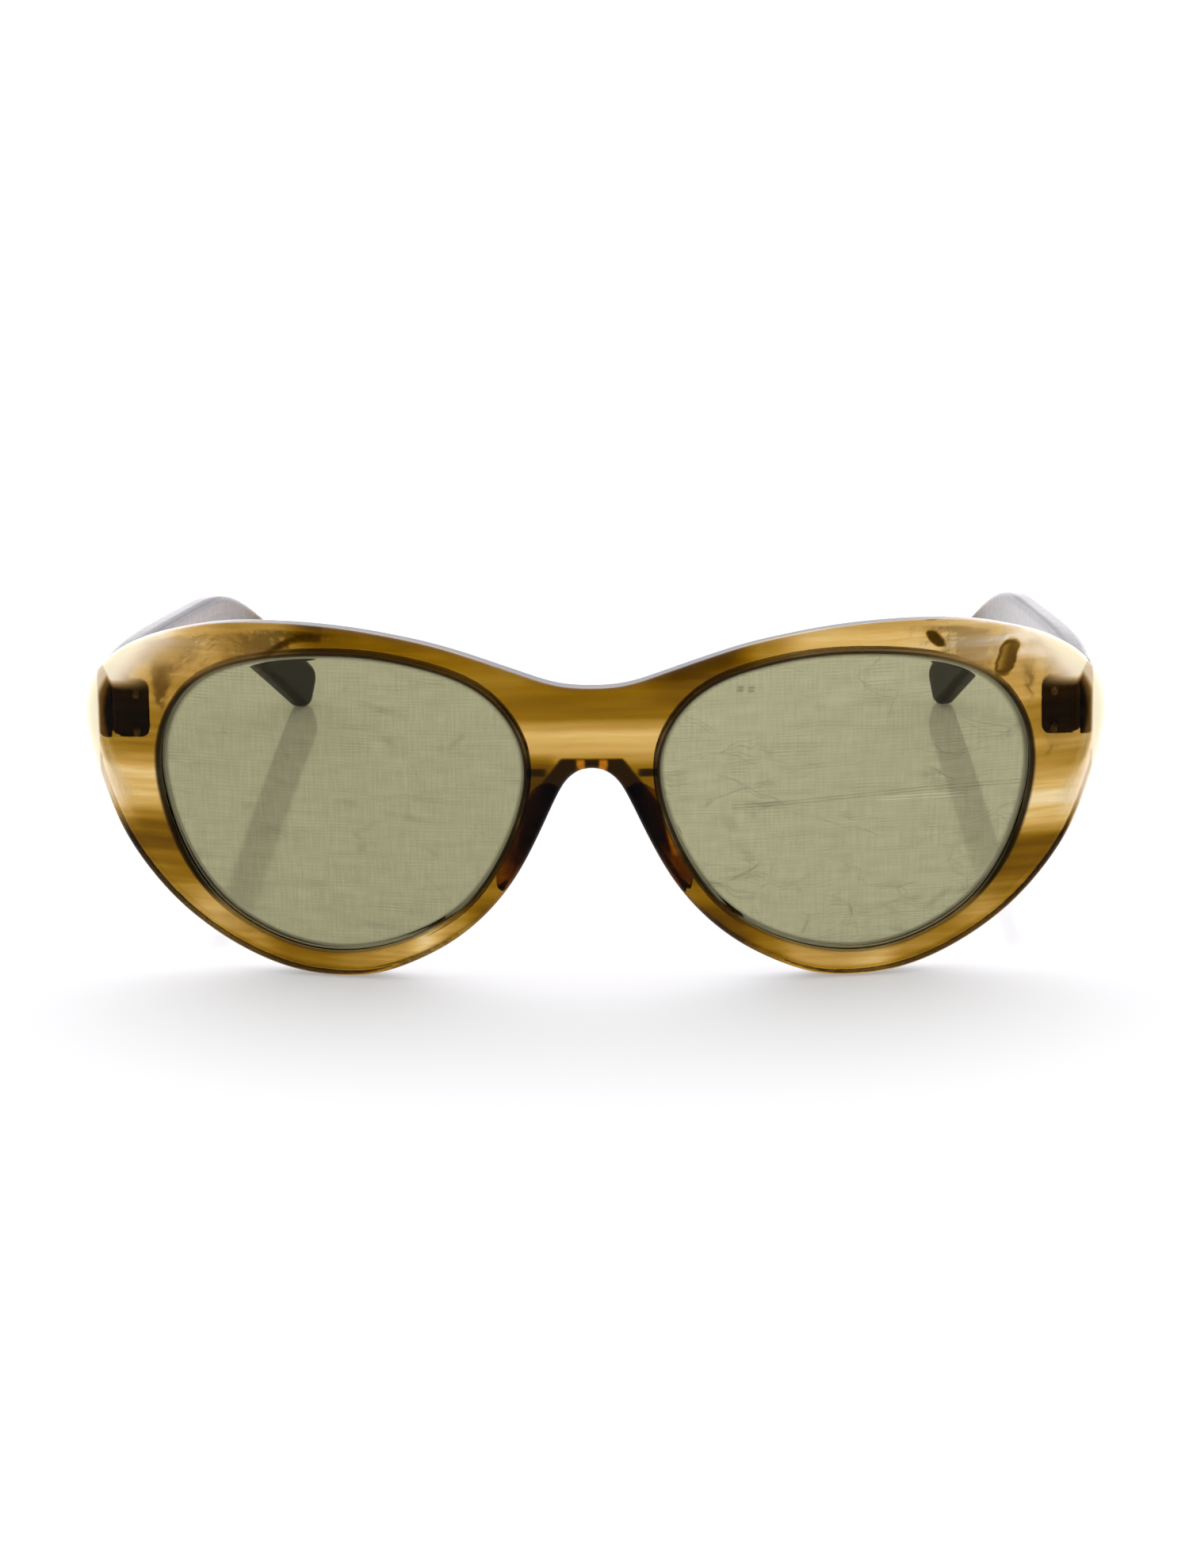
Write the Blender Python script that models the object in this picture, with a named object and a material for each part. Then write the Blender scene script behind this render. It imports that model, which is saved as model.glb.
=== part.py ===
"""Cat eye sunglasses: acetate front and temples, riveted five-barrel hinges.

Built in metres, +Z up, standing open on the two rim bottoms and the two ear
tips.  +X is the wearer's left, +Y runs back towards the ear tips.  Shapes are
worked out in millimetres for the wearer's left, in a design frame whose y = 0
is the foremost level of the front's curve.  mesh_object() moves them to metres,
centres them in depth and mirrors the right-hand pieces.

A shape is a pair (vertices, faces).
"""
import math

import bmesh
import bpy
import numpy as np
from mathutils import Vector
from mathutils.geometry import delaunay_2d_cdt

SIDES = {"left": 1, "right": -1}    # sign of x on each hand
DEPTH_MID = 69.90          # half way between the front and the ear tips

# ---------------------------------------------------------- front dimensions
FRONT_THICK = 4.2          # acetate sheet of the front
FRONT_MID = FRONT_THICK / 2
RADIUS_H = 240.0           # horizontal radius of the front curve
RADIUS_V = 200.0           # vertical radius of the front curve
CENTRE_V = 24.0            # height at which the front curve is vertical
EDGE_FRONT = 1.0           # rounding of the outer edge, front side
EDGE_REAR = 0.8            # rounding of the outer edge, rear side
EDGE_EYE = 0.45            # chamfer of the eye openings
FOOT = 0.55                # edge wall lower than this is flattened to z = 0
GROOVE_DEPTH = 1.0         # lens groove
GROOVE_HALF = 1.25         # half its width at the opening
FRONT_N = 72               # points along half of the outline
EYE_N = 56                 # points round an eye opening

# Flat hinge seat behind each endpiece, and the widths of its blends.
SEAT_Y = 13.6
SEAT_X = 61.3              # where the blend starts on the inner side
SEAT_Z = (31.6, 44.4)
SEAT_BLEND_INNER = 1.2
SEAT_BLEND_BELOW = 2.2
SEAT_BLEND_ABOVE = 1.6
# Mesh points on the seat: full columns, and a shorter one at the outer end.
SEAT_COLUMNS = (62.75, 65.0, 67.3)
SEAT_ROWS = (31.7, 33.6, 35.6, 37.6, 39.6, 41.6, 43.4, 44.3)
SEAT_END_COLUMN = 69.4
SEAT_END_ROWS = SEAT_ROWS[1:6]

# Grid of mesh points inside the front and rear faces: start, end, pitch.
FILL_PITCH = 4.2
FILL_X = (3.0, 70.0, FILL_PITCH)
FILL_Z = (1.0, 51.0, FILL_PITCH)
FILL_CLEAR = 1.7           # least distance from the face's borders and seat points

# The +X half of the front's outline, from the top of the bridge round to the
# top of the nose arch (x, z).
OUTLINE = [
    (0, 43.45), (4.6, 43.8), (9.6, 45.25), (15, 47.05), (21, 48.85),
    (28, 50.3), (35, 51.25), (42, 51.65), (48, 51.6), (54, 51.0),
    (59.4, 49.75), (63.4, 48.45), (66.7, 46.7), (69.2, 44.5), (70.85, 42.0),
    (71.75, 39.2), (71.9, 36.5), (71.45, 33.3), (70.5, 29.7), (69.05, 25.2),
    (66.8, 19.8), (63.4, 14.5), (58.8, 9.4), (53.2, 5.15), (47.1, 2.0),
    (41.2, 0.35), (36.4, 0.0), (31.4, 0.5), (26.0, 2.5), (20.6, 5.6),
    (15.4, 10.1), (11.2, 15.5), (8.4, 20.6), (6.35, 25.0), (4.75, 28.4),
    (3.2, 30.7), (1.5, 31.8), (0, 32.05),
]
ARCH_MAX_Z = 36            # between the top of the nose arch and the bridge's top
# Eye opening on the wearer's left, anticlockwise seen from the front (x, z).
EYE = [
    (60.4, 25.0), (60.8, 34.2), (56.2, 42.3), (47.8, 46.1), (39.5, 47.2),
    (31.7, 47.2), (23.5, 45.9), (15.0, 42.3), (9.8, 34.4), (10.7, 25.0),
    (14.2, 17.2), (18.9, 11.0), (25.1, 6.8), (32.0, 4.4), (39.3, 4.0),
    (46.5, 6.1), (52.9, 10.4), (57.6, 17.0),
]

# ------------------------------------------------- lens and pad dimensions
EYE_CENTRE = (35.6, 25.5)
LENS_THICK = 2.0
LENS_GAP = 0.12            # lens wall to eye opening
LENS_BEVEL = 0.72          # how far the V bevel reaches into the groove
LENS_INNER_RING = 0.5      # scale of the ring between wall and centre

PAD_MAX_X = 13.2           # part of the outline that carries the pad
PAD_Z = (12.8, 28.6)
PAD_LINE_N = 400           # outline points it is picked from
PAD_STATIONS = 13
PAD_RING = 14
PAD_END = 0.985            # end stations, as a share of the half length
PAD_DEPTH = 4.6            # front to back
PAD_HALF_WIDTH = 1.55
PAD_START = FRONT_THICK + 0.25
PAD_INSET = 0.85           # from the outline into the rim
PAD_LEAN = 0.42            # sideways shift into the rim per mm of depth
PAD_POWER = 0.8            # below 1 squares the elliptical section

# --------------------------------------------------------- hinge dimensions
PIN_X, PIN_Y = 66.3, 15.7  # hinge screw axis
PIN_SEGMENTS = 28          # round the barrels, their bore and the screw
BARREL_R = 1.25
BARREL_H = 1.56
BARREL_GAP = 0.10
BARREL_PITCH = BARREL_H + BARREL_GAP
BARREL_RELIEF = 0.16       # clearance round the temple barrels
BORE_R = 0.62
FRONT_LEVELS = (0, 2, 4)   # barrels of each leaf, counted from the bottom
TEMPLE_LEVELS = (1, 3)
HINGE_LOW = 33.3           # bottom of the barrel stack
HINGE_H = 5 * BARREL_H + 4 * BARREL_GAP
HINGE_TOP = HINGE_LOW + HINGE_H

PLATE = 0.8                # thickness of the front leaf
FRONT_LEAF_X = (62.3, PIN_X + 0.35)
FRONT_LEAF_Y = SEAT_Y + 0.12

NOTCH_X, NOTCH_Y = 67.8, 17.4    # barrel notch: floor and rear end
POCKET_X, POCKET_Y = 67.35, 25.9    # leaf pocket: floor and rear end
POCKET_CLEAR = 0.25        # above and below the hinge
CUT_INNER_X = PIN_X - 4    # both cuts run out through the inner side

TEMPLE_LEAF_X = (PIN_X, POCKET_X - 0.2)
TEMPLE_LEAF_Y = (17.35, 25.6)
TEMPLE_LEAF_TRIM = 0.1     # off the hinge height at each end
ARM_Y = (PIN_Y + 0.1, 18.2)    # arms that join barrels to the temple leaf
ARM_INSET_X = 0.02         # from the faces of the leaf
ARM_INSET_Z = 0.01         # from the ends of the barrel

# Turned profiles: (radius, distance along the axis).
SCREW_R = 0.55
SCREW_PROFILE = [          # from the tail; 0 is the bottom of the barrels
    (0.40, -0.55), (SCREW_R, -0.35), (SCREW_R, HINGE_H + 0.12),
    (0.95, HINGE_H + 0.12), (1.02, HINGE_H + 0.28), (0.95, HINGE_H + 0.62),
    (0.70, HINGE_H + 0.74),
]
SLOT_HALF = 0.14
SLOT_Z = HINGE_TOP + 0.42  # floor of the screw slot
FRONT_RIVET_PROFILE = [    # 0 is the front side of the front leaf
    (0.35, -2.35), (0.5, -2.2), (0.5, PLATE + 0.1), (0.72, PLATE + 0.1),
    (0.68, PLATE + 0.32), (0.42, PLATE + 0.45),
]
TEMPLE_RIVET_PROFILE = [   # 0 is the inner face of the temple leaf
    (0.42, -0.45), (0.68, -0.32), (0.72, -0.1), (0.5, -0.1), (0.5, 2.6), (0.35, 2.75),
]
RIVET_SEGMENTS = 12
FRONT_RIVET_X = 64.2
FRONT_RIVETS_Z = {"upper": 39.8, "lower": 34.4}
TEMPLE_RIVET_Y = 21.4
TEMPLE_RIVETS_Z = {"upper": 40.2, "lower": 34.7}
RIVET_BORE_R = 0.72        # in the acetate
LEAF_HOLE_R = 0.62         # in the leaves
LEAF_HOLE_SEGMENTS = 14

# -------------------------------------------------------- temple dimensions
# Temple stations: y, x of the middle, z of the middle, thickness, height.
TEMPLE = [
    (13.9, 68.6, 38.5, 3.8, 10.8),
    (26.0, 68.4, 37.1, 3.8, 10.3),
    (40.0, 67.8, 35.4, 3.7, 9.6),
    (60.0, 66.4, 32.6, 3.6, 8.8),
    (78.0, 64.9, 29.9, 3.5, 8.2),
    (91.0, 63.6, 27.7, 3.5, 7.9),
    (101.0, 62.3, 24.9, 3.5, 7.7),
    (109.5, 60.9, 21.1, 3.5, 7.6),
    (118.5, 58.9, 15.7, 3.45, 7.6),
    (127.5, 56.5, 9.7, 3.4, 7.5),
    (136.0, 54.0, 3.75, 3.3, 7.5),
]
THICK_WEIGHT = 3           # weight of the thickness in the spline's spacing
BUTT_Y = TEMPLE[0][0]      # flat front end of the temples
TEMPLE_N = 21              # sections along a temple
TEMPLE_CORNER = 1.15
CORNER_POINTS = 3          # points round each corner of a section

TIP_R = 3.75               # side-view radius of the ear tip
TIP_MIN_H = 0.2            # height of the last section at least
TIP_FOOT = 0.06            # anything lower is flattened to z = 0
# Sections round the tip, in multiples of the angle of its lowest point.  From
# TIP_TURN on, TIP_SPAN more would reach a right angle.
TIP_STEPS = (0.25, 0.6, 0.88, 1.0, 1.12, 1.32, 1.52, 1.68)
TIP_TURN = 1.12
TIP_SPAN = 0.62

CORE_CORNER = 0.45
CORE_SHIFT = 0.45          # outward at the front end of the core
CORE_SHIFT_Y = 16.0        # the shift fades out from here on
CORE_SHIFT_FADE = 14.0     # over this length
CORE_FIRST = 0.06          # path parameter of the second section
CORE_N = 11                # sections from there on
# Thickness, height, y of the front end, path parameter of the rear end.
CORE_BORE = (1.5, 3.0, 10.0, 0.90)
CORE_WIRE = (1.0, 2.5, 18.4, 0.885)


# ------------------------------------------------------------------ materials
def material(name, colour, roughness, metallic=0.0, alpha=1.0):
    mat = bpy.data.materials.new(name)
    mat.use_nodes = True
    bsdf = mat.node_tree.nodes["Principled BSDF"]
    bsdf.inputs["Base Color"].default_value = (*colour, 1.0)
    bsdf.inputs["Roughness"].default_value = roughness
    bsdf.inputs["Metallic"].default_value = metallic
    bsdf.inputs["Alpha"].default_value = alpha
    mat.diffuse_color = (*colour, alpha)
    return mat


ACETATE = material("honey_acetate", colour=(0.30, 0.17, 0.05), roughness=0.22)
PAD = material("nose_pad_acetate", colour=(0.16, 0.085, 0.025), roughness=0.25)
LENS = material("olive_lens", colour=(0.19, 0.19, 0.11), roughness=0.08, alpha=0.6)
STEEL = material("hinge_steel", colour=(0.42, 0.40, 0.36), roughness=0.32, metallic=1.0)
SCREW = material("screw_steel", colour=(0.55, 0.53, 0.48), roughness=0.25, metallic=1.0)
RIVET = material("rivet_brass", colour=(0.45, 0.36, 0.20), roughness=0.35, metallic=1.0)
CORE = material("core_nickel_silver", colour=(0.48, 0.46, 0.42), roughness=0.30, metallic=1.0)


# --------------------------------------------------------------------- curves
def spline(points, closed):
    """Cubic spline through points of any dimension; returns f(parameter 0..1)."""
    pts = np.array(points, float)
    if closed:
        pts = np.vstack([pts, pts[:1]])
    gap = np.linalg.norm(np.diff(pts, axis=0), axis=1)
    knots = np.concatenate([[0], np.cumsum(gap)])
    gap = np.diff(knots)
    count = len(pts)
    slope = np.diff(pts, axis=0) / gap[:, None]

    # Solve for the second derivatives at the knots.
    matrix = np.zeros((count, count))
    target = np.zeros((count, pts.shape[1]))
    for i in range(1, count - 1):
        matrix[i, i - 1:i + 2] = gap[i - 1], 2 * (gap[i - 1] + gap[i]), gap[i]
        target[i] = 6 * (slope[i] - slope[i - 1])
    if closed:
        matrix[0, 0], matrix[0, -1] = 1, -1
        matrix[-1, 0], matrix[-1, 1] = 2 * gap[0], gap[0]
        matrix[-1, -1], matrix[-1, -2] = 2 * gap[-1], gap[-1]
        target[-1] = 6 * (slope[0] - slope[-1])
    else:
        matrix[0, 0] = matrix[-1, -1] = 1
    bend = np.linalg.solve(matrix, target)

    def value(parameter):
        along = np.asarray(parameter, float) * knots[-1]
        i = np.clip(np.searchsorted(knots, along, side="right") - 1, 0, count - 2)
        past = (along - knots[i])[:, None]
        left = (knots[i + 1] - along)[:, None]
        step = gap[i][:, None]
        return (bend[i] * left**3 + bend[i + 1] * past**3) / (6 * step) \
            + (pts[i] / step - bend[i] * step / 6) * left \
            + (pts[i + 1] / step - bend[i + 1] * step / 6) * past
    return value


def even(curve, start, end, count):
    """Points at equal arc length on a curve between two parameters."""
    parameters = np.linspace(start, end, 2000)
    steps = np.linalg.norm(np.diff(curve(parameters), axis=0), axis=1)
    length = np.concatenate([[0], np.cumsum(steps)])
    return curve(np.interp(np.linspace(0, length[-1], count), length, parameters))


def loop_normals(points):
    """Unit normals on the left of a closed 2D loop."""
    tangent = np.roll(points, -1, axis=0) - np.roll(points, 1, axis=0)
    tangent /= np.linalg.norm(tangent, axis=1)[:, None]
    return np.stack([-tangent[:, 1], tangent[:, 0]], 1)


def outline_half(count):
    """Points and inward normals along the +X half of the front's outline."""
    curve = spline(OUTLINE + [(-x, z) for x, z in OUTLINE[-2:0:-1]], True)
    # Find where the middle part of the loop crosses x = 0 at the nose arch.
    parameters = np.linspace(0, 1, 4001)
    first = 1500
    middle = curve(parameters)[first:2501]
    arch = np.argmin(np.abs(middle[:, 0]) + (middle[:, 1] > ARCH_MAX_Z) * 100) + first
    half = even(curve, 0.0, parameters[arch], count)
    half[0, 0] = half[-1, 0] = 0.0
    both = np.vstack([half, (half[1:-1] * [-1, 1])[::-1]])
    inward = -loop_normals(both)[:count]
    inward[0], inward[-1] = (0, -1), (0, 1)
    return half, inward


def eye_loop():
    """Points and normals into the rim, round the eye opening."""
    loop = even(spline(EYE, True), 0.0, 1.0, EYE_N + 1)[:-1]
    return loop, -loop_normals(loop)


def smooth_step(x):
    x = np.clip(x, 0, 1)
    return x * x * (3 - 2 * x)


def on_front(points, depth):
    """(x, z) points at a depth behind the curved front face, as (x, y, z)."""
    x, z = points[..., 0], points[..., 1]
    lean_x, lean_z = -x / RADIUS_H, -(z - CENTRE_V) / RADIUS_V
    length = np.sqrt(1 + lean_x**2 + lean_z**2)
    y = x**2 / (2 * RADIUS_H) + (z - CENTRE_V)**2 / (2 * RADIUS_V)
    return np.stack([x + depth * lean_x / length, y + depth / length,
                     z + depth * lean_z / length], -1)


def on_frame(points, depth):
    """on_front, with the rear moved to the flat hinge seat."""
    placed = on_front(points, depth)
    x, z = points[..., 0], points[..., 1]
    weight = smooth_step((x - SEAT_X) / SEAT_BLEND_INNER) \
        * smooth_step((z - SEAT_Z[0] + SEAT_BLEND_BELOW) / SEAT_BLEND_BELOW) \
        * smooth_step((SEAT_Z[1] + SEAT_BLEND_ABOVE - z) / SEAT_BLEND_ABOVE)
    rear = on_front(points, FRONT_THICK)[..., 1]
    ramp = np.clip((depth - EDGE_FRONT) / (FRONT_THICK - EDGE_REAR - EDGE_FRONT), 0, 1)
    placed[..., 1] += weight * ramp * (SEAT_Y - rear)
    return placed


# -------------------------------------------------------------------- objects
def shift(points):
    """Design millimetres to metres, centred in depth."""
    return (np.asarray(points, float) - [0, DEPTH_MID, 0]) / 1000.0


def mesh_object(name, shape, mat=None, hand=None, parent=None, sharp=35):
    """One object from a shape; a hand is added to the name and sets the side."""
    if hand:
        name = f"{name}_{hand}"
    verts, faces = shape
    pts = shift(verts) * [SIDES.get(hand, 1), 1, 1]
    if parent is not None:
        pts = pts - np.array(parent.location)
    mesh = bpy.data.meshes.new(name)
    mesh.from_pydata([tuple(p) for p in pts], [], [tuple(f) for f in faces])
    bm = bmesh.new()
    bm.from_mesh(mesh)
    bmesh.ops.recalc_face_normals(bm, faces=bm.faces)
    bm.to_mesh(mesh)
    bm.free()
    mesh.shade_smooth()
    mesh.set_sharp_from_angle(angle=math.radians(sharp))
    obj = bpy.data.objects.new(name, mesh)
    bpy.context.scene.collection.objects.link(obj)
    if mat is not None:
        mesh.materials.append(mat)
    if parent is not None:
        obj.parent = parent
    return obj


def boolean(target, name, shape, hand, parent=None, operation="DIFFERENCE"):
    """Adds an exact Boolean modifier; its tool stays as a hidden wire helper."""
    tool = mesh_object(name, shape, hand=hand, parent=parent)
    tool.hide_render = True
    tool.display_type = "WIRE"
    mod = target.modifiers.new(tool.name, "BOOLEAN")
    mod.operation = operation
    mod.solver = "EXACT"
    mod.object = tool


# --------------------------------------------------------------- basic shapes
def index_rows(count, size):
    """Vertex indices of consecutive rows of equal size."""
    return [list(range(i * size, (i + 1) * size)) for i in range(count)]


def strips(rows, closed):
    """Quads between consecutive rows of vertex indices."""
    faces = []
    for low, high in zip(rows[:-1], rows[1:]):
        size = len(low)
        for i in range(size if closed else size - 1):
            j = (i + 1) % size
            faces.append((low[i], low[j], high[j], high[i]))
    return faces


def loft(rings):
    """Solid through equal rings of points, capped at both ends."""
    rows = index_rows(len(rings), len(rings[0]))
    verts = [tuple(point) for ring in rings for point in ring]
    return verts, strips(rows, True) + [tuple(rows[0]), tuple(rows[-1])]


def box(x_span, y_span, z_span):
    (x0, x1), (y0, y1) = x_span, y_span
    verts = [(x, y, z) for z in z_span for x, y in ((x0, y0), (x1, y0), (x1, y1), (x0, y1))]
    sides = [(i, (i + 1) % 4, (i + 1) % 4 + 4, i + 4) for i in range(4)]
    return verts, [(3, 2, 1, 0), (4, 5, 6, 7)] + sides


def turned(profile, origin, direction, segments):
    """Solid of revolution: profile of (radius, along) from one end to the other."""
    axis = Vector(direction).normalized()
    first = axis.orthogonal().normalized()
    second = axis.cross(first)
    verts = []
    for radius, along in profile:
        for k in range(segments):
            angle = 2 * math.pi * (k + 0.5) / segments
            spoke = first * math.cos(angle) + second * math.sin(angle)
            verts.append(tuple(Vector(origin) + axis * along + spoke * radius))
    rows = index_rows(len(profile), segments)
    return verts, strips(rows, True) + [tuple(reversed(rows[0])), tuple(rows[-1])]


def cylinder(origin, direction, radius, length, segments):
    return turned([(radius, 0), (radius, length)], origin, direction, segments)


# ---------------------------------------------------------------- front frame
def inside(polygon, point):
    x, y = point
    hit = False
    for i, (x0, y0) in enumerate(polygon):
        x1, y1 = polygon[(i + 1) % len(polygon)]
        if (y0 > y) != (y1 > y) and x < (x1 - x0) * (y - y0) / (y1 - y0) + x0:
            hit = not hit
    return hit


def fill(outer, hole, extra):
    """Triangles between a closed outer loop and a hole; extra points inside.

    Indices run through outer, hole and extra in that order."""
    pts = [Vector(p) for p in outer + hole + extra]
    n_outer, n_hole = len(outer), len(hole)
    edges = [(i, (i + 1) % n_outer) for i in range(n_outer)]
    edges += [(n_outer + i, n_outer + (i + 1) % n_hole) for i in range(n_hole)]
    placed, _, triangles, sources, _, _ = delaunay_2d_cdt(pts, edges, [], 0, 1e-7)
    assert len(placed) == len(pts), "the fill made new points"
    faces = []
    for triangle in triangles:
        a, b, c = (placed[i] for i in triangle)
        centre = sum((a, b, c), Vector((0, 0))) / 3
        if inside(outer, centre) and not inside(hole, centre):
            loop = [sources[i][0] for i in triangle]
            faces.append(tuple(loop if (b - a).cross(c - a) > 0 else loop[::-1]))
    return faces


def round_edge(radius, count):
    """(inset, depth) from the face round to the wall."""
    return [(radius * (1 - math.sin(angle)), radius * (1 - math.cos(angle)))
            for angle in np.linspace(0, math.pi / 2, count)]


def from_rear(edge):
    """The same edge on the rear face, running from the wall to the face."""
    return [(inset, FRONT_THICK - depth) for inset, depth in edge][::-1]


def add(verts, points):
    """Appends points to verts and returns their indices."""
    start = len(verts)
    verts.extend(map(tuple, points))
    return list(range(start, len(verts)))


def face_fill(verts, rim, rim_row, eye, eye_row, depth, fixed):
    """Triangles of the front or rear face, between the rim and eye rows."""
    centre_line = [(0.0, z) for z in np.linspace(rim[-1][1], rim[0][1], 6)[1:-1]]
    outer = [tuple(p) for p in rim] + centre_line
    hole = [tuple(p) for p in eye]
    extra = list(fixed)
    near = np.vstack([*rim, *eye, *fixed])
    for x in np.arange(*FILL_X):
        for z in np.arange(*FILL_Z):
            if np.min(np.hypot(*(near - (x, z)).T)) > FILL_CLEAR \
                    and inside(outer, (x, z)) and not inside(hole, (x, z)):
                extra.append((x, z))
    index = rim_row + add(verts, on_frame(np.array(centre_line), depth)) + eye_row \
        + add(verts, on_frame(np.array(extra), depth))
    return [tuple(index[i] for i in triangle) for triangle in fill(outer, hole, extra)]


def front_half():
    """The +X half of the front, open on the centre line."""
    line, inward = outline_half(FRONT_N)
    eye, into = eye_loop()
    verts = []

    outer_rows = []
    for inset, depth in round_edge(EDGE_FRONT, 3) + from_rear(round_edge(EDGE_REAR, 3)):
        row = on_frame(line + inward * inset, depth)
        if inset < 1e-9:
            row[row[:, 2] < FOOT, 2] = 0.0      # small flat foot under each rim
        outer_rows.append(add(verts, row))

    eye_edge = round_edge(EDGE_EYE, 2)
    groove = [(0, FRONT_MID - GROOVE_HALF), (GROOVE_DEPTH, FRONT_MID),
              (0, FRONT_MID + GROOVE_HALF)]
    eye_rows = [add(verts, on_frame(eye + into * inset, depth))
                for inset, depth in eye_edge + groove + from_rear(eye_edge)]

    seat = [(x, z) for x in SEAT_COLUMNS for z in SEAT_ROWS]
    seat += [(SEAT_END_COLUMN, z) for z in SEAT_END_ROWS]
    eye_border = eye + into * EDGE_EYE
    faces = strips(outer_rows, False) + strips(eye_rows, True)
    faces += face_fill(verts, line + inward * EDGE_FRONT, outer_rows[0],
                       eye_border, eye_rows[0], 0.0, [])
    rear = face_fill(verts, line + inward * EDGE_REAR, outer_rows[-1],
                     eye_border, eye_rows[-1], FRONT_THICK, seat)
    return verts, faces + [face[::-1] for face in rear]


def front_shape():
    """Both halves of the front, joined on the centre line."""
    half, faces = front_half()
    verts = [list(point) for point in half]
    mirror = []
    for i, (x, y, z) in enumerate(half):
        if abs(x) < 1e-6:
            verts[i][0] = 0.0
            mirror.append(i)
        else:
            mirror.append(len(verts))
            verts.append([-x, y, z])
    return verts, faces + [tuple(mirror[i] for i in reversed(face)) for face in faces]


# --------------------------------------------------------- lenses, nose pads
def lens_shape():
    eye, into = eye_loop()
    centre = np.array(EYE_CENTRE)
    wall = eye - into * LENS_GAP
    ring = centre + (wall - centre) * LENS_INNER_RING
    front, rear = FRONT_MID - LENS_THICK / 2, FRONT_MID + LENS_THICK / 2
    bevel = eye + into * LENS_BEVEL
    verts = []
    rows = [add(verts, on_front(points, depth)) for points, depth in (
        (ring, front), (wall, front), (bevel, FRONT_MID), (wall, rear), (ring, rear))]
    faces = strips(rows, True)
    for row, depth in ((rows[0], front), (rows[-1], rear)):
        hub = len(verts)
        verts.append(tuple(on_front(centre, depth)))
        faces += [(row[i], row[(i + 1) % EYE_N], hub) for i in range(EYE_N)]
    return verts, faces


def squared(value):
    """Sine or cosine reshaped for the squarer section of a pad."""
    return math.copysign(abs(value)**PAD_POWER, value)


def pad_shape():
    """Rounded fin behind the nose side of the rim."""
    line, inward = outline_half(PAD_LINE_N)
    keep = (line[:, 0] < PAD_MAX_X) & (line[:, 1] < PAD_Z[1]) & (line[:, 1] > PAD_Z[0])
    run, outward = line[keep], -inward[keep]
    rings = []
    for k in range(PAD_STATIONS):
        share = math.sin(math.pi * (k / (PAD_STATIONS - 1) - 0.5)) * PAD_END    # -1..1
        position = (share + 1) / 2 * (len(run) - 1)
        i = int(min(position, len(run) - 2))
        base = run[i] + (run[i + 1] - run[i]) * (position - i)
        size = math.sqrt(1 - share * share)
        half_depth = PAD_DEPTH * size / 2
        points, depths = [], []
        for j in range(PAD_RING):
            angle = 2 * math.pi * j / PAD_RING
            behind = half_depth + half_depth * squared(math.sin(angle))
            out = PAD_HALF_WIDTH * size * squared(math.cos(angle)) - PAD_INSET - PAD_LEAN * behind
            points.append(base + outward[i] * out)
            depths.append(PAD_START + behind)
        rings.append(on_front(np.array(points), np.array(depths)))
    return loft(rings)


# -------------------------------------------------------------------- temples
def stations(parameters):
    """Centre, outward side, up, thickness, height and tangent along the temple."""
    path = spline([(y, x, z, thick * THICK_WEIGHT, high) for y, x, z, thick, high in TEMPLE],
                  False)
    at = path(parameters)
    step = 1e-4
    ahead, behind = (path(np.clip(parameters + d, 0, 1)) for d in (step, -step))
    tangent = (ahead - behind)[:, [1, 0, 2]]
    tangent /= np.linalg.norm(tangent, axis=1)[:, None]
    up = np.array([0, 0, 1.0]) - tangent * tangent[:, 2:3]
    up /= np.linalg.norm(up, axis=1)[:, None]
    return at[:, [1, 0, 2]], np.cross(tangent, up), up, at[:, 3] / THICK_WEIGHT, at[:, 4], tangent


def section(centre, side, up, thick, high, corner, shift_out=0.0):
    """Rounded rectangle, from the lower outer corner up and round."""
    corner = min(corner, 0.46 * thick, 0.46 * high)
    ring = []
    for sign_out, sign_up, start in ((1, -1, -90), (1, 1, 0), (-1, 1, 90), (-1, -1, 180)):
        for k in range(CORNER_POINTS):
            angle = math.radians(start + 90 * k / (CORNER_POINTS - 1))
            out = sign_out * (thick / 2 - corner) + corner * math.cos(angle)
            rise = sign_up * (high / 2 - corner) + corner * math.sin(angle)
            ring.append(centre + side * (out + shift_out) + up * rise)
    return ring


def flatten_end(ring, tangent, y):
    """Slides a ring along the tangent on to a plane of constant y."""
    return [p + tangent * (y - p[1]) / tangent[1] for p in ring]


def temple_shape():
    centre, side, up, thick, high, tangent = stations(np.linspace(0.0, 1.0, TEMPLE_N))
    rings = [section(centre[i], side[i], up[i], thick[i], high[i], TEMPLE_CORNER)
             for i in range(TEMPLE_N)]
    rings[0] = flatten_end(rings[0], tangent[0], BUTT_Y)
    # Round the ear tip; three sections straddle its lowest point.
    lowest = math.asin(-tangent[-1][2])
    for step in TIP_STEPS:
        angle = lowest * min(step, TIP_TURN)
        if step > TIP_TURN:
            angle += (math.pi / 2 - angle) * (step - TIP_TURN) / TIP_SPAN
        rings.append(section(centre[-1] + tangent[-1] * TIP_R * math.sin(angle),
                             side[-1], up[-1],
                             thick[-1] * (1 - math.sin(angle)**5) ** 0.5,
                             max(2 * TIP_R * math.cos(angle), TIP_MIN_H), TEMPLE_CORNER))
    verts, faces = loft(rings)
    return [(x, y, 0.0 if z < TIP_FOOT else z) for x, y, z in verts], faces


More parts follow.
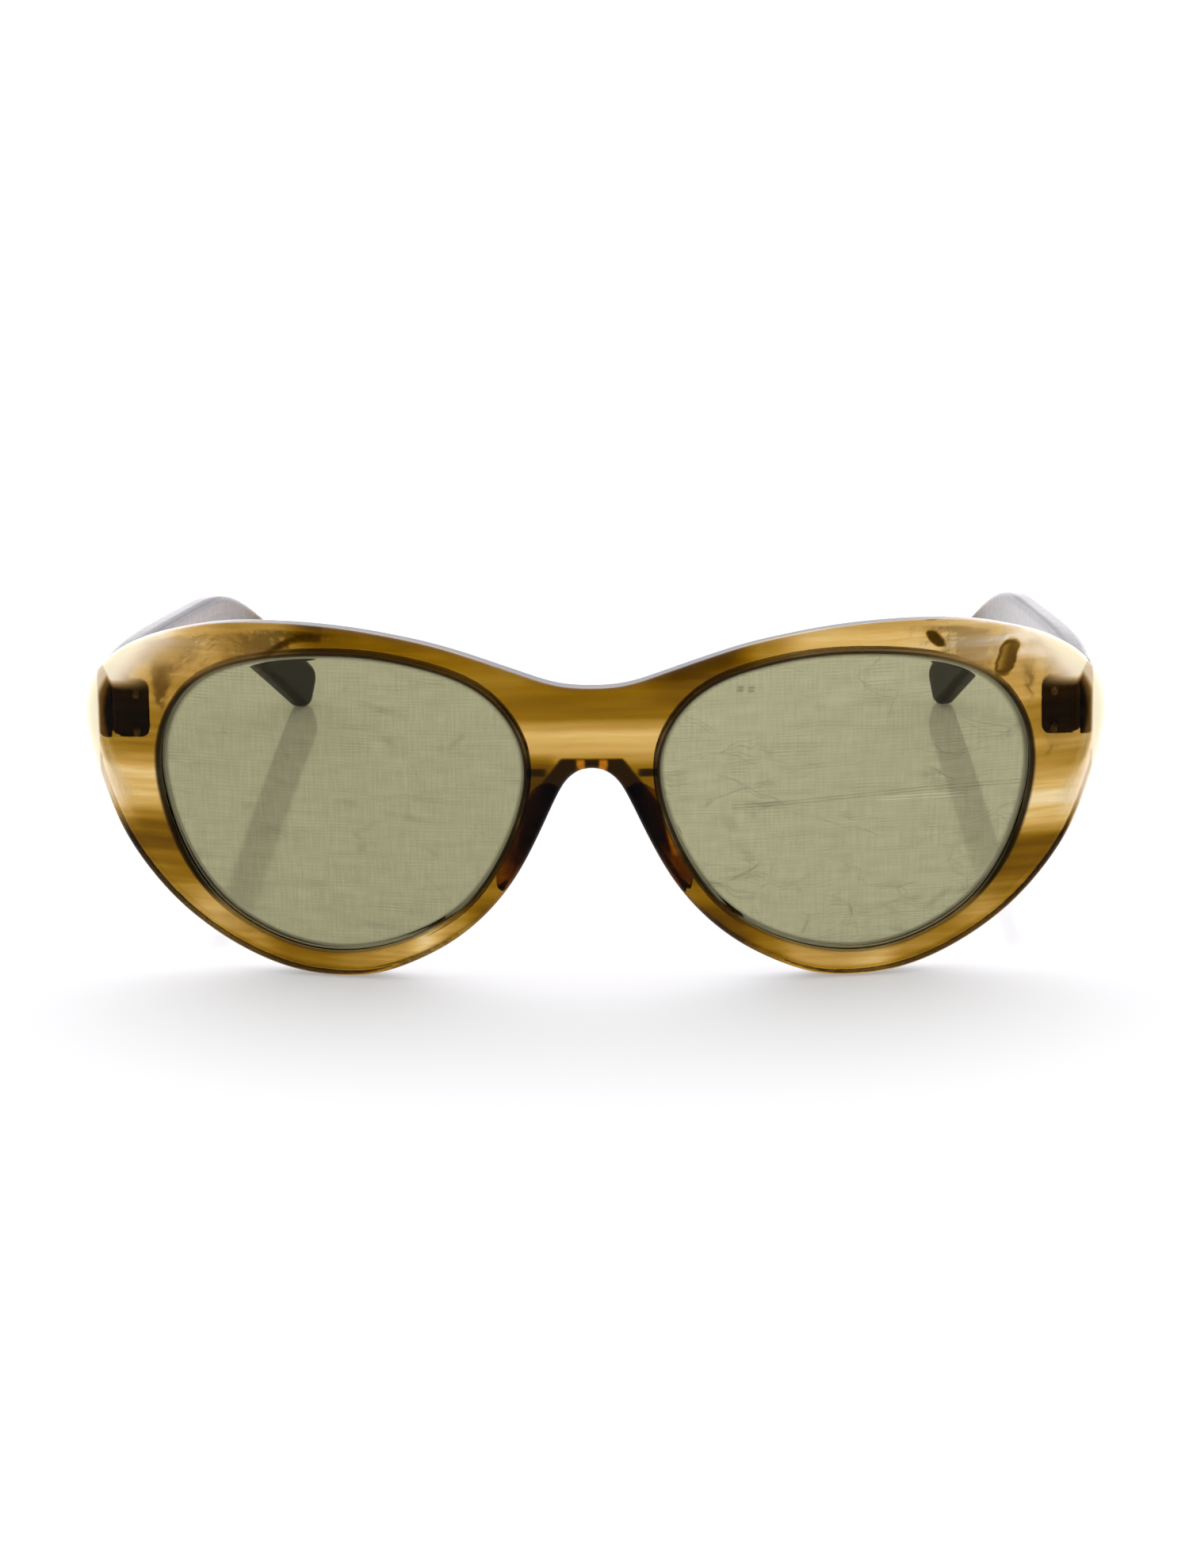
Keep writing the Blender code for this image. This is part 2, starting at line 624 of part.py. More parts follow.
def core_shape(thick, high, front_y, last):
    """Flat bar along the middle of the temple, for the core wire or its bore."""
    parameters = np.concatenate([[0.0], np.linspace(CORE_FIRST, last, CORE_N)])
    centre, side, up, _, _, tangent = stations(parameters)
    fade = 1 - smooth_step((centre[:, 1] - CORE_SHIFT_Y) / CORE_SHIFT_FADE)
    rings = [section(centre[i], side[i], up[i], thick, high, CORE_CORNER, CORE_SHIFT * fade[i])
             for i in range(len(parameters))]
    rings[0] = flatten_end(rings[0], tangent[0], front_y)
    return loft(rings)


def make_temple(hand, axis):
    """Temple, notched for the barrels, pocketed for its leaf, bored for the core."""
    temple = mesh_object("temple", temple_shape(), ACETATE, hand, axis)
    cuts = {
        "barrel_notch": box((CUT_INNER_X, NOTCH_X), (10, NOTCH_Y), (25, 50)),
        "leaf_pocket": box((CUT_INNER_X, POCKET_X), (12, POCKET_Y),
                           (HINGE_LOW - POCKET_CLEAR, HINGE_TOP + POCKET_CLEAR)),
        "core_bore": core_shape(*CORE_BORE),
    }
    for key, z in TEMPLE_RIVETS_Z.items():
        cuts[f"rivet_bore_{key}"] = cylinder((POCKET_X - 0.6, TEMPLE_RIVET_Y, z), (1, 0, 0),
                                             RIVET_BORE_R, 2.5, RIVET_SEGMENTS)
    for name, shape in cuts.items():
        boolean(temple, name, shape, hand, axis)
    mesh_object("core_wire", core_shape(*CORE_WIRE), CORE, hand, axis)


# --------------------------------------------------------------------- hinges
def barrel(level, radius=BARREL_R, grow=0.0):
    """Barrel on the screw axis, longer by grow at each end."""
    z = HINGE_LOW + level * BARREL_PITCH - grow
    return cylinder((PIN_X, PIN_Y, z), (0, 0, 1), radius, BARREL_H + 2 * grow, PIN_SEGMENTS)


def pin_bore():
    return cylinder((PIN_X, PIN_Y, HINGE_LOW - 1), (0, 0, 1), BORE_R, HINGE_H + 2, PIN_SEGMENTS)


def make_front_leaf(hand):
    """Plate on the seat with three barrels."""
    plate = box(FRONT_LEAF_X, (FRONT_LEAF_Y, FRONT_LEAF_Y + PLATE), (HINGE_LOW, HINGE_TOP))
    leaf = mesh_object("front_hinge_leaf", plate, STEEL, hand)
    for level in FRONT_LEVELS:
        boolean(leaf, f"front_barrel_{level}", barrel(level), hand, operation="UNION")
    for level in TEMPLE_LEVELS:
        relief = barrel(level, BARREL_R + BARREL_RELIEF, BARREL_GAP)
        boolean(leaf, f"front_relief_{level}", relief, hand)
    boolean(leaf, "front_bore", pin_bore(), hand)
    return leaf


def make_temple_leaf(hand, axis):
    """Plate in the temple's pocket with two barrels on arms."""
    inner, outer = TEMPLE_LEAF_X
    plate = box(TEMPLE_LEAF_X, TEMPLE_LEAF_Y,
                (HINGE_LOW + TEMPLE_LEAF_TRIM, HINGE_TOP - TEMPLE_LEAF_TRIM))
    leaf = mesh_object("temple_hinge_leaf", plate, STEEL, hand, axis)
    for level in TEMPLE_LEVELS:
        z = HINGE_LOW + level * BARREL_PITCH
        arm = box((inner + ARM_INSET_X, outer - ARM_INSET_X), ARM_Y,
                  (z + ARM_INSET_Z, z + BARREL_H - ARM_INSET_Z))
        boolean(leaf, f"temple_arm_{level}", arm, hand, axis, "UNION")
        boolean(leaf, f"temple_barrel_{level}", barrel(level), hand, axis, "UNION")
    boolean(leaf, "temple_bore", pin_bore(), hand, axis)
    return leaf


def make_screw(hand):
    """Slotted head above the top barrel, tail below the bottom one."""
    shape = turned(SCREW_PROFILE, (PIN_X, PIN_Y, HINGE_LOW), (0, 0, 1), PIN_SEGMENTS)
    screw = mesh_object("hinge_screw", shape, SCREW, hand)
    slot = box((PIN_X - 2, PIN_X + 2), (PIN_Y - SLOT_HALF, PIN_Y + SLOT_HALF),
               (SLOT_Z, HINGE_TOP + 2))
    boolean(screw, "screw_slot", slot, hand)


def make_front_rivets(hand, leaf, front):
    """Rivets through the front leaf, in blind bores in the endpiece."""
    back = (0, 1, 0)
    for key, z in FRONT_RIVETS_Z.items():
        shape = turned(FRONT_RIVET_PROFILE, (FRONT_RIVET_X, FRONT_LEAF_Y, z), back,
                       RIVET_SEGMENTS)
        mesh_object(f"front_rivet_{key}", shape, RIVET, hand)
        hole = cylinder((FRONT_RIVET_X, FRONT_LEAF_Y - 1, z), back, LEAF_HOLE_R, 3,
                        LEAF_HOLE_SEGMENTS)
        boolean(leaf, f"leaf_hole_{key}", hole, hand)
        bore = cylinder((FRONT_RIVET_X, SEAT_Y - 2.6, z), back, RIVET_BORE_R, 4, RIVET_SEGMENTS)
        boolean(front, f"endpiece_bore_{key}", bore, hand)


def make_temple_rivets(hand, axis, leaf):
    """Rivets through the temple leaf."""
    outward = (1, 0, 0)
    inner = TEMPLE_LEAF_X[0]
    for key, z in TEMPLE_RIVETS_Z.items():
        shape = turned(TEMPLE_RIVET_PROFILE, (inner, TEMPLE_RIVET_Y, z), outward, RIVET_SEGMENTS)
        mesh_object(f"temple_rivet_{key}", shape, RIVET, hand, axis)
        hole = cylinder((inner - 1, TEMPLE_RIVET_Y, z), outward, LEAF_HOLE_R, 3,
                        LEAF_HOLE_SEGMENTS)
        boolean(leaf, f"mate_hole_{key}", hole, hand, axis)


def make_hinge_axis(hand):
    """Empty on the screw axis; everything that swings is parented to it."""
    axis = bpy.data.objects.new(f"{hand}_hinge_axis", None)
    axis.location = shift([PIN_X, PIN_Y, HINGE_LOW + HINGE_H / 2]) * [SIDES[hand], 1, 1]
    bpy.context.scene.collection.objects.link(axis)
    return axis


# ---------------------------------------------------------------------- build
def build():
    for old in list(bpy.data.objects):
        bpy.data.objects.remove(old, do_unlink=True)

    front = mesh_object("front_frame", front_shape(), ACETATE)
    for hand in SIDES:
        axis = make_hinge_axis(hand)
        mesh_object("lens", lens_shape(), LENS, hand)
        mesh_object("nose_pad", pad_shape(), PAD, hand, sharp=60)
        make_temple(hand, axis)
        front_leaf = make_front_leaf(hand)
        temple_leaf = make_temple_leaf(hand, axis)
        make_screw(hand)
        make_front_rivets(hand, front_leaf, front)
        make_temple_rivets(hand, axis, temple_leaf)


build()
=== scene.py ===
"""Cat eye sunglasses: honey acetate front and temples, olive lenses, steel hinges.

Shapes are drawn in millimetres. X runs towards the wearer's left, Y runs back from
the front to the temple tips, Z is up from the lowest point of the rims. piece()
turns them into metres, with Y measured from the middle of the pair's depth.
"""
import math

import bmesh
import bpy
import numpy as np
from mathutils import Matrix, Vector
from mathutils.geometry import delaunay_2d_cdt


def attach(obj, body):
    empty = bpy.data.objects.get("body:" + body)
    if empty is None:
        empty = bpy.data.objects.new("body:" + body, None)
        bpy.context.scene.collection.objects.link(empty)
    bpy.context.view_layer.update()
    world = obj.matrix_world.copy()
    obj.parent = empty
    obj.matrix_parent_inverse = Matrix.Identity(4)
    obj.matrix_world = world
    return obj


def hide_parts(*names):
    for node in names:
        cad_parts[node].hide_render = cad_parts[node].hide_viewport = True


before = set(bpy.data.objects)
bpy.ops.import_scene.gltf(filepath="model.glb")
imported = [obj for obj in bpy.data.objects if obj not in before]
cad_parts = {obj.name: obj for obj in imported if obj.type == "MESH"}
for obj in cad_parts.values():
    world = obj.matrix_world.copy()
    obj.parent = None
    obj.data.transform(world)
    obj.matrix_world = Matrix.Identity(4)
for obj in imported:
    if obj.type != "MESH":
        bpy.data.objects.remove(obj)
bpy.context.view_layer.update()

# ------------------------------------------------------------ shared dimensions
DEPTH_MID = 69.90                       # Y of the middle of the pair
HANDS = ((1, "left"), (-1, "right"))    # sign of X, name

# Front: a sheet bent about two radii, with a flat seat behind for each hinge.
FRONT_THICK = 4.2
BEND_X, BEND_Z, BEND_CENTRE_Z = 240.0, 200.0, 24.0
EDGE_FRONT, EDGE_REAR, EDGE_EYE = 0.95, 0.8, 0.5    # edge radii
FRONT_COUNT, EYE_COUNT = 440, 300                   # points along each outline
SEAT_Y, SEAT_Z = 13.6, (31.6, 44.4)

# Hinge: five barrels round one upright pin.
PIN_X, PIN_Y = 66.3, 15.7
BARREL_R, BORE_R = 1.25, 0.62
BARREL_H, BARREL_GAP = 1.56, 0.10
HINGE_H = 5 * BARREL_H + 4 * BARREL_GAP
HINGE_LOW = 33.3
HINGE_TOP = HINGE_LOW + HINGE_H
PLATE = 0.8                             # thickness of the front leaf
LEAF_Y = SEAT_Y + 0.12                  # front face of the front leaf
POCKET_X = 67.35                        # outer wall of the pocket in the temple

# Half of the front's outline (x, z): over the top, down the side and back to the
# arch above the nose.
OUTLINE = [
    (0, 43.45), (4.6, 43.8), (9.6, 45.25), (15, 47.05), (21, 48.85),
    (28, 50.3), (35, 51.25), (42, 51.65), (48, 51.6), (54, 51.0),
    (59.4, 49.75), (63.4, 48.45), (66.7, 46.7), (69.2, 44.5), (70.85, 42.0),
    (71.75, 39.2), (71.9, 36.5), (71.45, 33.3), (70.5, 29.7), (69.05, 25.2),
    (66.8, 19.8), (63.4, 14.5), (58.8, 9.4), (53.2, 5.15), (47.1, 2.0),
    (41.2, 0.35), (36.4, 0.0), (31.4, 0.5), (26.0, 2.5), (20.6, 5.6),
    (15.4, 10.1), (11.2, 15.5), (8.4, 20.6), (6.35, 25.0), (4.75, 28.4),
    (3.2, 30.7), (1.5, 31.8), (0, 32.05),
]
# The lens opening (x, z), a closed loop.
EYE = [
    (60.4, 25.0), (60.8, 34.2), (56.2, 42.3), (47.8, 46.1), (39.5, 47.2),
    (31.7, 47.2), (23.5, 45.9), (15.0, 42.3), (9.8, 34.4), (10.7, 25.0),
    (14.2, 17.2), (18.9, 11.0), (25.1, 6.8), (32.0, 4.4), (39.3, 4.0),
    (46.5, 6.1), (52.9, 10.4), (57.6, 17.0),
]
EYE_CENTRE = np.array((35.6, 25.5))
# Temple stations, front to tip: y, x, z of the centre, width, height.
TEMPLE = [
    (13.9, 68.25, 38.5, 3.1, 10.8), (26.0, 68.3, 37.1, 3.6, 10.3),
    (40.0, 67.8, 35.4, 3.7, 9.6), (60.0, 66.4, 32.6, 3.6, 8.8),
    (78.0, 64.9, 29.9, 3.5, 8.2), (91.0, 63.6, 27.7, 3.5, 7.9),
    (101.0, 62.3, 24.9, 3.5, 7.7), (109.5, 60.9, 21.1, 3.5, 7.6),
    (118.5, 58.9, 15.7, 3.45, 7.6), (127.5, 56.5, 9.7, 3.4, 7.5),
    (136.0, 54.0, 3.75, 3.3, 7.5),
]
BUTT_Y = TEMPLE[0][0]                   # front end of the temple
TIP_R = TEMPLE[-1][4] / 2
TEMPLE_CORNER, TEMPLE_BELLY = 1.15, 0.12

# Rivets: x, y, axis, length below the seat, neck and head heights, z of each.
RIVETS = {
    "front": (64.2, LEAF_Y, (0, 1, 0), 2.35, PLATE + 0.04, PLATE + 0.14,
              {"upper": 39.8, "lower": 34.4}),
    "temple": (PIN_X, 21.4, (-1, 0, 0), 2.65, 0.02, 0.10,
               {"upper": 40.2, "lower": 34.7}),
}
# Screw head: radius, height above the hinge.
SCREW_HEAD = [
    (0.55, 0.12), (0.90, 0.12), (0.98, 0.18), (1.02, 0.30), (1.0, 0.46),
    (0.93, 0.58), (0.78, 0.67), (0.55, 0.72), (0.25, 0.74),
]


# --------------------------------------------------------------------- curves
def spline(points, closed):
    """A cubic spline through the points, as a function of 0 to 1."""
    pts = np.array(points, float)
    if closed:
        pts = np.vstack([pts, pts[:1]])
    span = np.linalg.norm(np.diff(pts, axis=0), axis=1)
    knots = np.concatenate([[0], np.cumsum(span)])
    count = len(pts)
    span = np.diff(knots)
    matrix = np.zeros((count, count))
    target = np.zeros((count, pts.shape[1]))
    for i in range(1, count - 1):
        matrix[i, i - 1:i + 2] = span[i - 1], 2 * (span[i - 1] + span[i]), span[i]
        target[i] = 6 * ((pts[i + 1] - pts[i]) / span[i] - (pts[i] - pts[i - 1]) / span[i - 1])
    if closed:
        matrix[0, 0], matrix[0, -1] = 1, -1
        matrix[-1, 0], matrix[-1, 1] = 2 * span[0], span[0]
        matrix[-1, -1], matrix[-1, -2] = 2 * span[-1], span[-1]
        target[-1] = 6 * ((pts[1] - pts[0]) / span[0] - (pts[-1] - pts[-2]) / span[-1])
    else:
        matrix[0, 0] = matrix[-1, -1] = 1
    bend = np.linalg.solve(matrix, target)

    def value(share):
        at = np.asarray(share, float) * knots[-1]
        i = np.clip(np.searchsorted(knots, at, side="right") - 1, 0, count - 2)
        past, left = (at - knots[i])[:, None], (knots[i + 1] - at)[:, None]
        gap = span[i][:, None]
        return (bend[i] * left**3 + bend[i + 1] * past**3) / (6 * gap) \
            + (pts[i] / gap - bend[i] * gap / 6) * left \
            + (pts[i + 1] / gap - bend[i + 1] * gap / 6) * past
    return value


def even(curve, end, count):
    """Points spaced evenly along a curve from its start to the share end."""
    share = np.linspace(0.0, end, 6000)
    steps = np.linalg.norm(np.diff(curve(share), axis=0), axis=1)
    length = np.concatenate([[0], np.cumsum(steps)])
    return curve(np.interp(np.linspace(0, length[-1], count), length, share))


def loop_normals(points):
    tangent = np.roll(points, -1, axis=0) - np.roll(points, 1, axis=0)
    tangent /= np.linalg.norm(tangent, axis=1)[:, None]
    return np.stack([-tangent[:, 1], tangent[:, 0]], 1)


def outline_half(count):
    """The +X half of the outline, and directions into the acetate."""
    curve = spline(OUTLINE + [(-x, z) for x, z in OUTLINE[-2:0:-1]], True)
    share = np.linspace(0, 1, 8001)
    # The half ends where the curve crosses the centre line low down, at the arch.
    middle = slice(3000, 5001)
    points = curve(share)[middle]
    end = np.argmin(np.abs(points[:, 0]) + (points[:, 1] > 36) * 100) + middle.start
    half = even(curve, share[end], count)
    half[0, 0] = half[-1, 0] = 0.0
    inward = -loop_normals(np.vstack([half, (half[1:-1] * [-1, 1])[::-1]]))[:count]
    inward[0], inward[-1] = (0, -1), (0, 1)
    return half, inward


def eye_loop(count):
    """The lens opening, and directions into the acetate round it."""
    loop = even(spline(EYE, True), 1.0, count + 1)[:-1]
    return loop, -loop_normals(loop)


def on_front(plane, depth):
    """Bends points (x, z) onto the front, at a depth behind its front face."""
    x, z = plane[..., 0], plane[..., 1]
    slope_x, slope_z = -x / BEND_X, -(z - BEND_CENTRE_Z) / BEND_Z
    length = np.sqrt(1 + slope_x**2 + slope_z**2)
    y = x**2 / (2 * BEND_X) + (z - BEND_CENTRE_Z)**2 / (2 * BEND_Z)
    return np.stack([x + depth * slope_x / length, y + depth / length,
                     z + depth * slope_z / length], -1)


def smooth_step(x):
    x = np.clip(x, 0, 1)
    return x * x * (3 - 2 * x)


def on_frame(plane, depth):
    """As on_front, but with the rear drawn flat at the hinge seats."""
    points = on_front(plane, depth)
    x, z = plane[..., 0], plane[..., 1]
    weight = smooth_step((x - 61.3) / 1.2) \
        * smooth_step((z - SEAT_Z[0] + 2.2) / 2.2) * smooth_step((SEAT_Z[1] + 1.6 - z) / 1.6)
    rear = on_front(plane, FRONT_THICK)[..., 1]
    ramp = np.clip((depth - 1.0) / (FRONT_THICK - 1.8), 0, 1)
    points[..., 1] += weight * ramp * (SEAT_Y - rear)
    return points


def nearest(points, line):
    """The distance from each point to the nearest point of a line."""
    return np.min(np.hypot(points[:, None, 0] - line[None, :, 0],
                           points[:, None, 1] - line[None, :, 1]), 1)


# ----------------------------------------------------------------- mesh tools
def piece(name, verts, faces, mat, side=1, smooth=True, sharp=None, attrs=None):
    """A new object from design millimetres; side -1 mirrors it in X."""
    points = (np.asarray(verts, float) - [0, DEPTH_MID, 0]) / 1000.0 * [side, 1, 1]
    mesh = bpy.data.meshes.new(name)
    mesh.from_pydata(points.tolist(), [], [tuple(f) for f in faces])
    for key, values in (attrs or {}).items():
        layer = mesh.attributes.new(key, "FLOAT", "POINT")
        layer.data.foreach_set("value", np.asarray(values, np.float32))
    bm = bmesh.new()
    bm.from_mesh(mesh)
    bmesh.ops.recalc_face_normals(bm, faces=bm.faces)
    bm.to_mesh(mesh)
    bm.free()
    if smooth:
        mesh.shade_smooth()
    if sharp:
        mesh.set_sharp_from_angle(angle=math.radians(sharp))
    obj = bpy.data.objects.new(name, mesh)
    bpy.context.scene.collection.objects.link(obj)
    if mat:
        mesh.materials.append(mat)
    return obj


def tell(obj, body, replaced):
    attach(obj, body)
    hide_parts(replaced)


def bake(obj):
    """Applies the modifiers."""
    graph = bpy.context.evaluated_depsgraph_get()
    graph.update()
    made = bpy.data.meshes.new_from_object(obj.evaluated_get(graph))
    obj.modifiers.clear()
    old = obj.data
    obj.data = made
    bpy.data.meshes.remove(old)


def shade(obj, sharp):
    obj.data.shade_smooth()
    obj.data.set_sharp_from_angle(angle=math.radians(sharp))


def carve(target, side, cuts, solver="EXACT"):
    """Applies Booleans: cuts is a list of (shape, operation)."""
    tools = []
    for shape, operation in cuts:
        tool = piece("tool", *shape, None, side)
        tools.append(tool)
        mod = target.modifiers.new("cut", "BOOLEAN")
        mod.operation, mod.solver, mod.object = operation, solver, tool
    bake(target)
    for tool in tools:
        data = tool.data
        bpy.data.objects.remove(tool)
        bpy.data.meshes.remove(data)


def finish_edges(obj, width=0.10, segments=3, angle=32):
    mod = obj.modifiers.new("edge", "BEVEL")
    mod.width, mod.segments, mod.limit_method = width / 1000, segments, "ANGLE"
    mod.angle_limit = math.radians(angle)
    mod.use_clamp_overlap = True
    bake(obj)
    shade(obj, angle)


def box(x, y, z):
    """A block between pairs of X, Y and Z."""
    (x0, x1), (y0, y1) = x, y
    verts = [(px, py, pz) for pz in z
             for px, py in ((x0, y0), (x1, y0), (x1, y1), (x0, y1))]
    walls = [(i, (i + 1) % 4, (i + 1) % 4 + 4, i + 4) for i in range(4)]
    return verts, [(3, 2, 1, 0), (4, 5, 6, 7)] + walls


def plate(x, y, z, corner, steps=10):
    """A slab in X and Z, rounded at its two low-X corners."""
    ring = [(x[1], z[0]), (x[1], z[1])]
    for cz, start in ((z[1] - corner, 90), (z[0] + corner, 180)):
        for k in range(steps + 1):
            angle = math.radians(start + 90 * k / steps)
            ring.append((x[0] + corner + corner * math.cos(angle), cz + corner * math.sin(angle)))
    n = len(ring)
    verts = [(px, py, pz) for py in y for px, pz in ring]
    walls = [(i, i + n, (i + 1) % n + n, (i + 1) % n) for i in range(n)]
    return verts, [tuple(range(n)), tuple(reversed(range(n, 2 * n)))] + walls


def strips(rows, closed):
    """Quads between each row of vertex numbers and the next."""
    faces = []
    for a, b in zip(rows[:-1], rows[1:]):
        n = len(a)
        for i in range(n if closed else n - 1):
            j = (i + 1) % n
            faces.append((a[i], a[j], b[j], b[i]))
    return faces


def ring_rows(count, size):
    return [list(range(i * size, (i + 1) * size)) for i in range(count)]


def loft(rings):
    """A skin over rings of points, closed at both ends."""
    rows = ring_rows(len(rings), len(rings[0]))
    verts = [tuple(p) for ring in rings for p in ring]
    return verts, strips(rows, True) + [tuple(rows[0]), tuple(rows[-1])]


def turned(profile, centre, axis, segments=64):
    """A solid of revolution; profile is (radius, height along the axis)."""
    axis = Vector(axis).normalized()
    across = axis.orthogonal().normalized()
    other = axis.cross(across)
    verts = []
    for radius, height in profile:
        for k in range(segments):
            w = 2 * math.pi * (k + 0.5) / segments
            spoke = across * math.cos(w) + other * math.sin(w)
            verts.append(tuple(Vector(centre) + axis * height + spoke * radius))
    rows = ring_rows(len(profile), segments)
    return verts, strips(rows, True) + [tuple(reversed(rows[0])), tuple(rows[-1])]


def inside(poly, points):
    """Which points lie in a polygon."""
    a, points = np.asarray(poly, float), np.asarray(points, float)
    b = np.roll(a, -1, axis=0)
    x, y = points[:, 0:1], points[:, 1:2]
    crosses = (a[:, 1] > y) != (b[:, 1] > y)
    with np.errstate(divide="ignore", invalid="ignore"):
        at = (b[:, 0] - a[:, 0]) * (y - a[:, 1]) / (b[:, 1] - a[:, 1]) + a[:, 0]
    return ((crosses & (x < at)).sum(1) % 2) == 1


def fill(outer, hole, extra):
    """Triangles between two loops, passing through the extra points."""
    points = [Vector(tuple(p)) for p in (*outer, *hole, *extra)]
    n_outer, n_hole = len(outer), len(hole)
    edges = [(i, (i + 1) % n_outer) for i in range(n_outer)]
    edges += [(n_outer + i, n_outer + (i + 1) % n_hole) for i in range(n_hole)]
    out, _, tris, origins, _, _ = delaunay_2d_cdt(points, edges, [], 0, 1e-7)
    back = np.array([o[0] for o in origins])
    flat = np.array([tuple(p) for p in out])
    tris = np.array([tuple(t) for t in tris])
    centre = flat[tris].mean(1)
    tris = tris[inside(outer, centre) & ~inside(hole, centre)]
    a, b, c = flat[tris[:, 0]], flat[tris[:, 1]], flat[tris[:, 2]]
    turn = (b - a)[:, 0] * (c - a)[:, 1] - (b - a)[:, 1] * (c - a)[:, 0]
    tris[turn < 0] = tris[turn < 0][:, ::-1]
    return [tuple(int(v) for v in t) for t in back[tris]]


# ---------------------------------------------------------------- front frame
def crown(distance, reach=3.2, drop=0.16):
    """Polishing rolls the face off towards its edges."""
    x = np.clip(1 - distance / reach, 0, 1)
    return drop * x * x


def edge_arc(radius, count):
    """A rounded edge as (distance in from the edge, depth)."""
    return [(radius * (1 - math.sin(a)), radius * (1 - math.cos(a)))
            for a in np.linspace(0, math.pi / 2, count)]


def front_half():
    """The +X half; marks holds (edge_mm, eye_mm, depth_mm) for each vertex."""
    line, inward = outline_half(FRONT_COUNT)
    eye, into = eye_loop(EYE_COUNT)
    thick, mid, far_from_eye = FRONT_THICK, FRONT_THICK / 2, 9.0
    verts, marks = [], []

    def add(points, distance, depth, aperture=far_from_eye):
        start = len(verts)
        verts.extend(map(tuple, points))
        columns = np.broadcast_arrays(distance, aperture, depth, np.zeros(len(points)))[:3]
        marks.extend(np.stack(columns, 1).tolist())
        return list(range(start, start + len(points)))

    # Profiles of (distance from the edge, depth), from the front face to the rear.
    outer_front = [(1.9, 0.0), (1.55, 0.0)] + edge_arc(EDGE_FRONT, 9)
    wall = [(0.0, t) for t in np.linspace(EDGE_FRONT, thick - EDGE_REAR, 6)[1:-1]]
    outer_rear = [(d, thick - t) for d, t in edge_arc(EDGE_REAR, 7)][::-1]
    outer_rows = []
    for d, t in outer_front + wall + outer_rear:
        base = t + crown(d) * max(1 - t / EDGE_FRONT, 0)
        row = on_frame(line + inward * d, base)
        row[:, 2] = np.maximum(row[:, 2], 0.0)
        outer_rows.append(add(row, d, t))

    eye_front = [(0.75, 0.0)] + edge_arc(EDGE_EYE, 6)
    groove = [(0, mid - 1.25), (0.5, mid - 0.62), (1.0, mid), (0.5, mid + 0.62), (0, mid + 1.25)]
    eye_rear = [(d, thick - t) for d, t in edge_arc(EDGE_EYE, 5)][::-1]
    rim_width = nearest(eye, line)
    eye_rows = []
    for d, t in eye_front + groove + eye_rear:
        if t < mid:
            aperture = d
        else:
            aperture = 0.0 if d <= 1 and t < thick - EDGE_EYE else 3.0 + d
        eye_rows.append(add(on_frame(eye + into * d, t), rim_width - d, t, aperture))
    faces = strips(outer_rows, False) + strips(eye_rows, True)

    # The two broad faces, filled over a staggered grid.
    for is_front, outer_row, eye_row, inset, eye_inset, depth in (
            (True, outer_rows[0], eye_rows[0], outer_front[0][0], eye_front[0][0], 0.0),
            (False, outer_rows[-1], eye_rows[-1], EDGE_REAR, EDGE_EYE, thick)):
        border, hole = line + inward * inset, eye + into * eye_inset
        centre = [(0.0, z) for z in np.linspace(border[-1][1], border[0][1], 12)[1:-1]]
        outer = [tuple(p) for p in border] + centre
        grid = np.array([(x + (0.7 if j % 2 else 0.0), z)
                         for j, z in enumerate(np.arange(0.5, 51.6, 1.25))
                         for x in np.arange(1.2, 71.5, 1.4)])
        grid = grid[inside(outer, grid) & ~inside(hole, grid)]
        grid = grid[nearest(grid, np.vstack([border, hole])) > 0.55]
        tris = fill(outer, hole, grid)
        to_edge, to_eye = nearest(grid, line), nearest(grid, eye)
        to_top_or_arch = [min(OUTLINE[0][1] - z, z - OUTLINE[-1][1]) for _, z in centre]
        index = outer_row + add(on_frame(np.array(centre), depth), to_top_or_arch, depth) \
            + eye_row + add(on_frame(grid, depth + (crown(to_edge) if is_front else 0)),
                            to_edge, depth, to_eye if is_front else far_from_eye)
        order = 1 if is_front else -1
        faces += [tuple(index[i] for i in tri)[::order] for tri in tris]
    return verts, faces, marks


def whole_front():
    """The half and its mirror image, joined along the centre line."""
    half, faces, marks = front_half()
    verts = [list(v) for v in half]
    marks, mirror = list(marks), []
    for i in range(len(half)):
        x, y, z = verts[i]
        if abs(x) < 1e-6:
            verts[i][0] = 0.0
            mirror.append(i)
        else:
            mirror.append(len(verts))
            verts.append([-x, y, z])
            marks.append(marks[i])
    faces += [tuple(mirror[i] for i in reversed(f)) for f in faces]
    return verts, faces, np.array(marks)


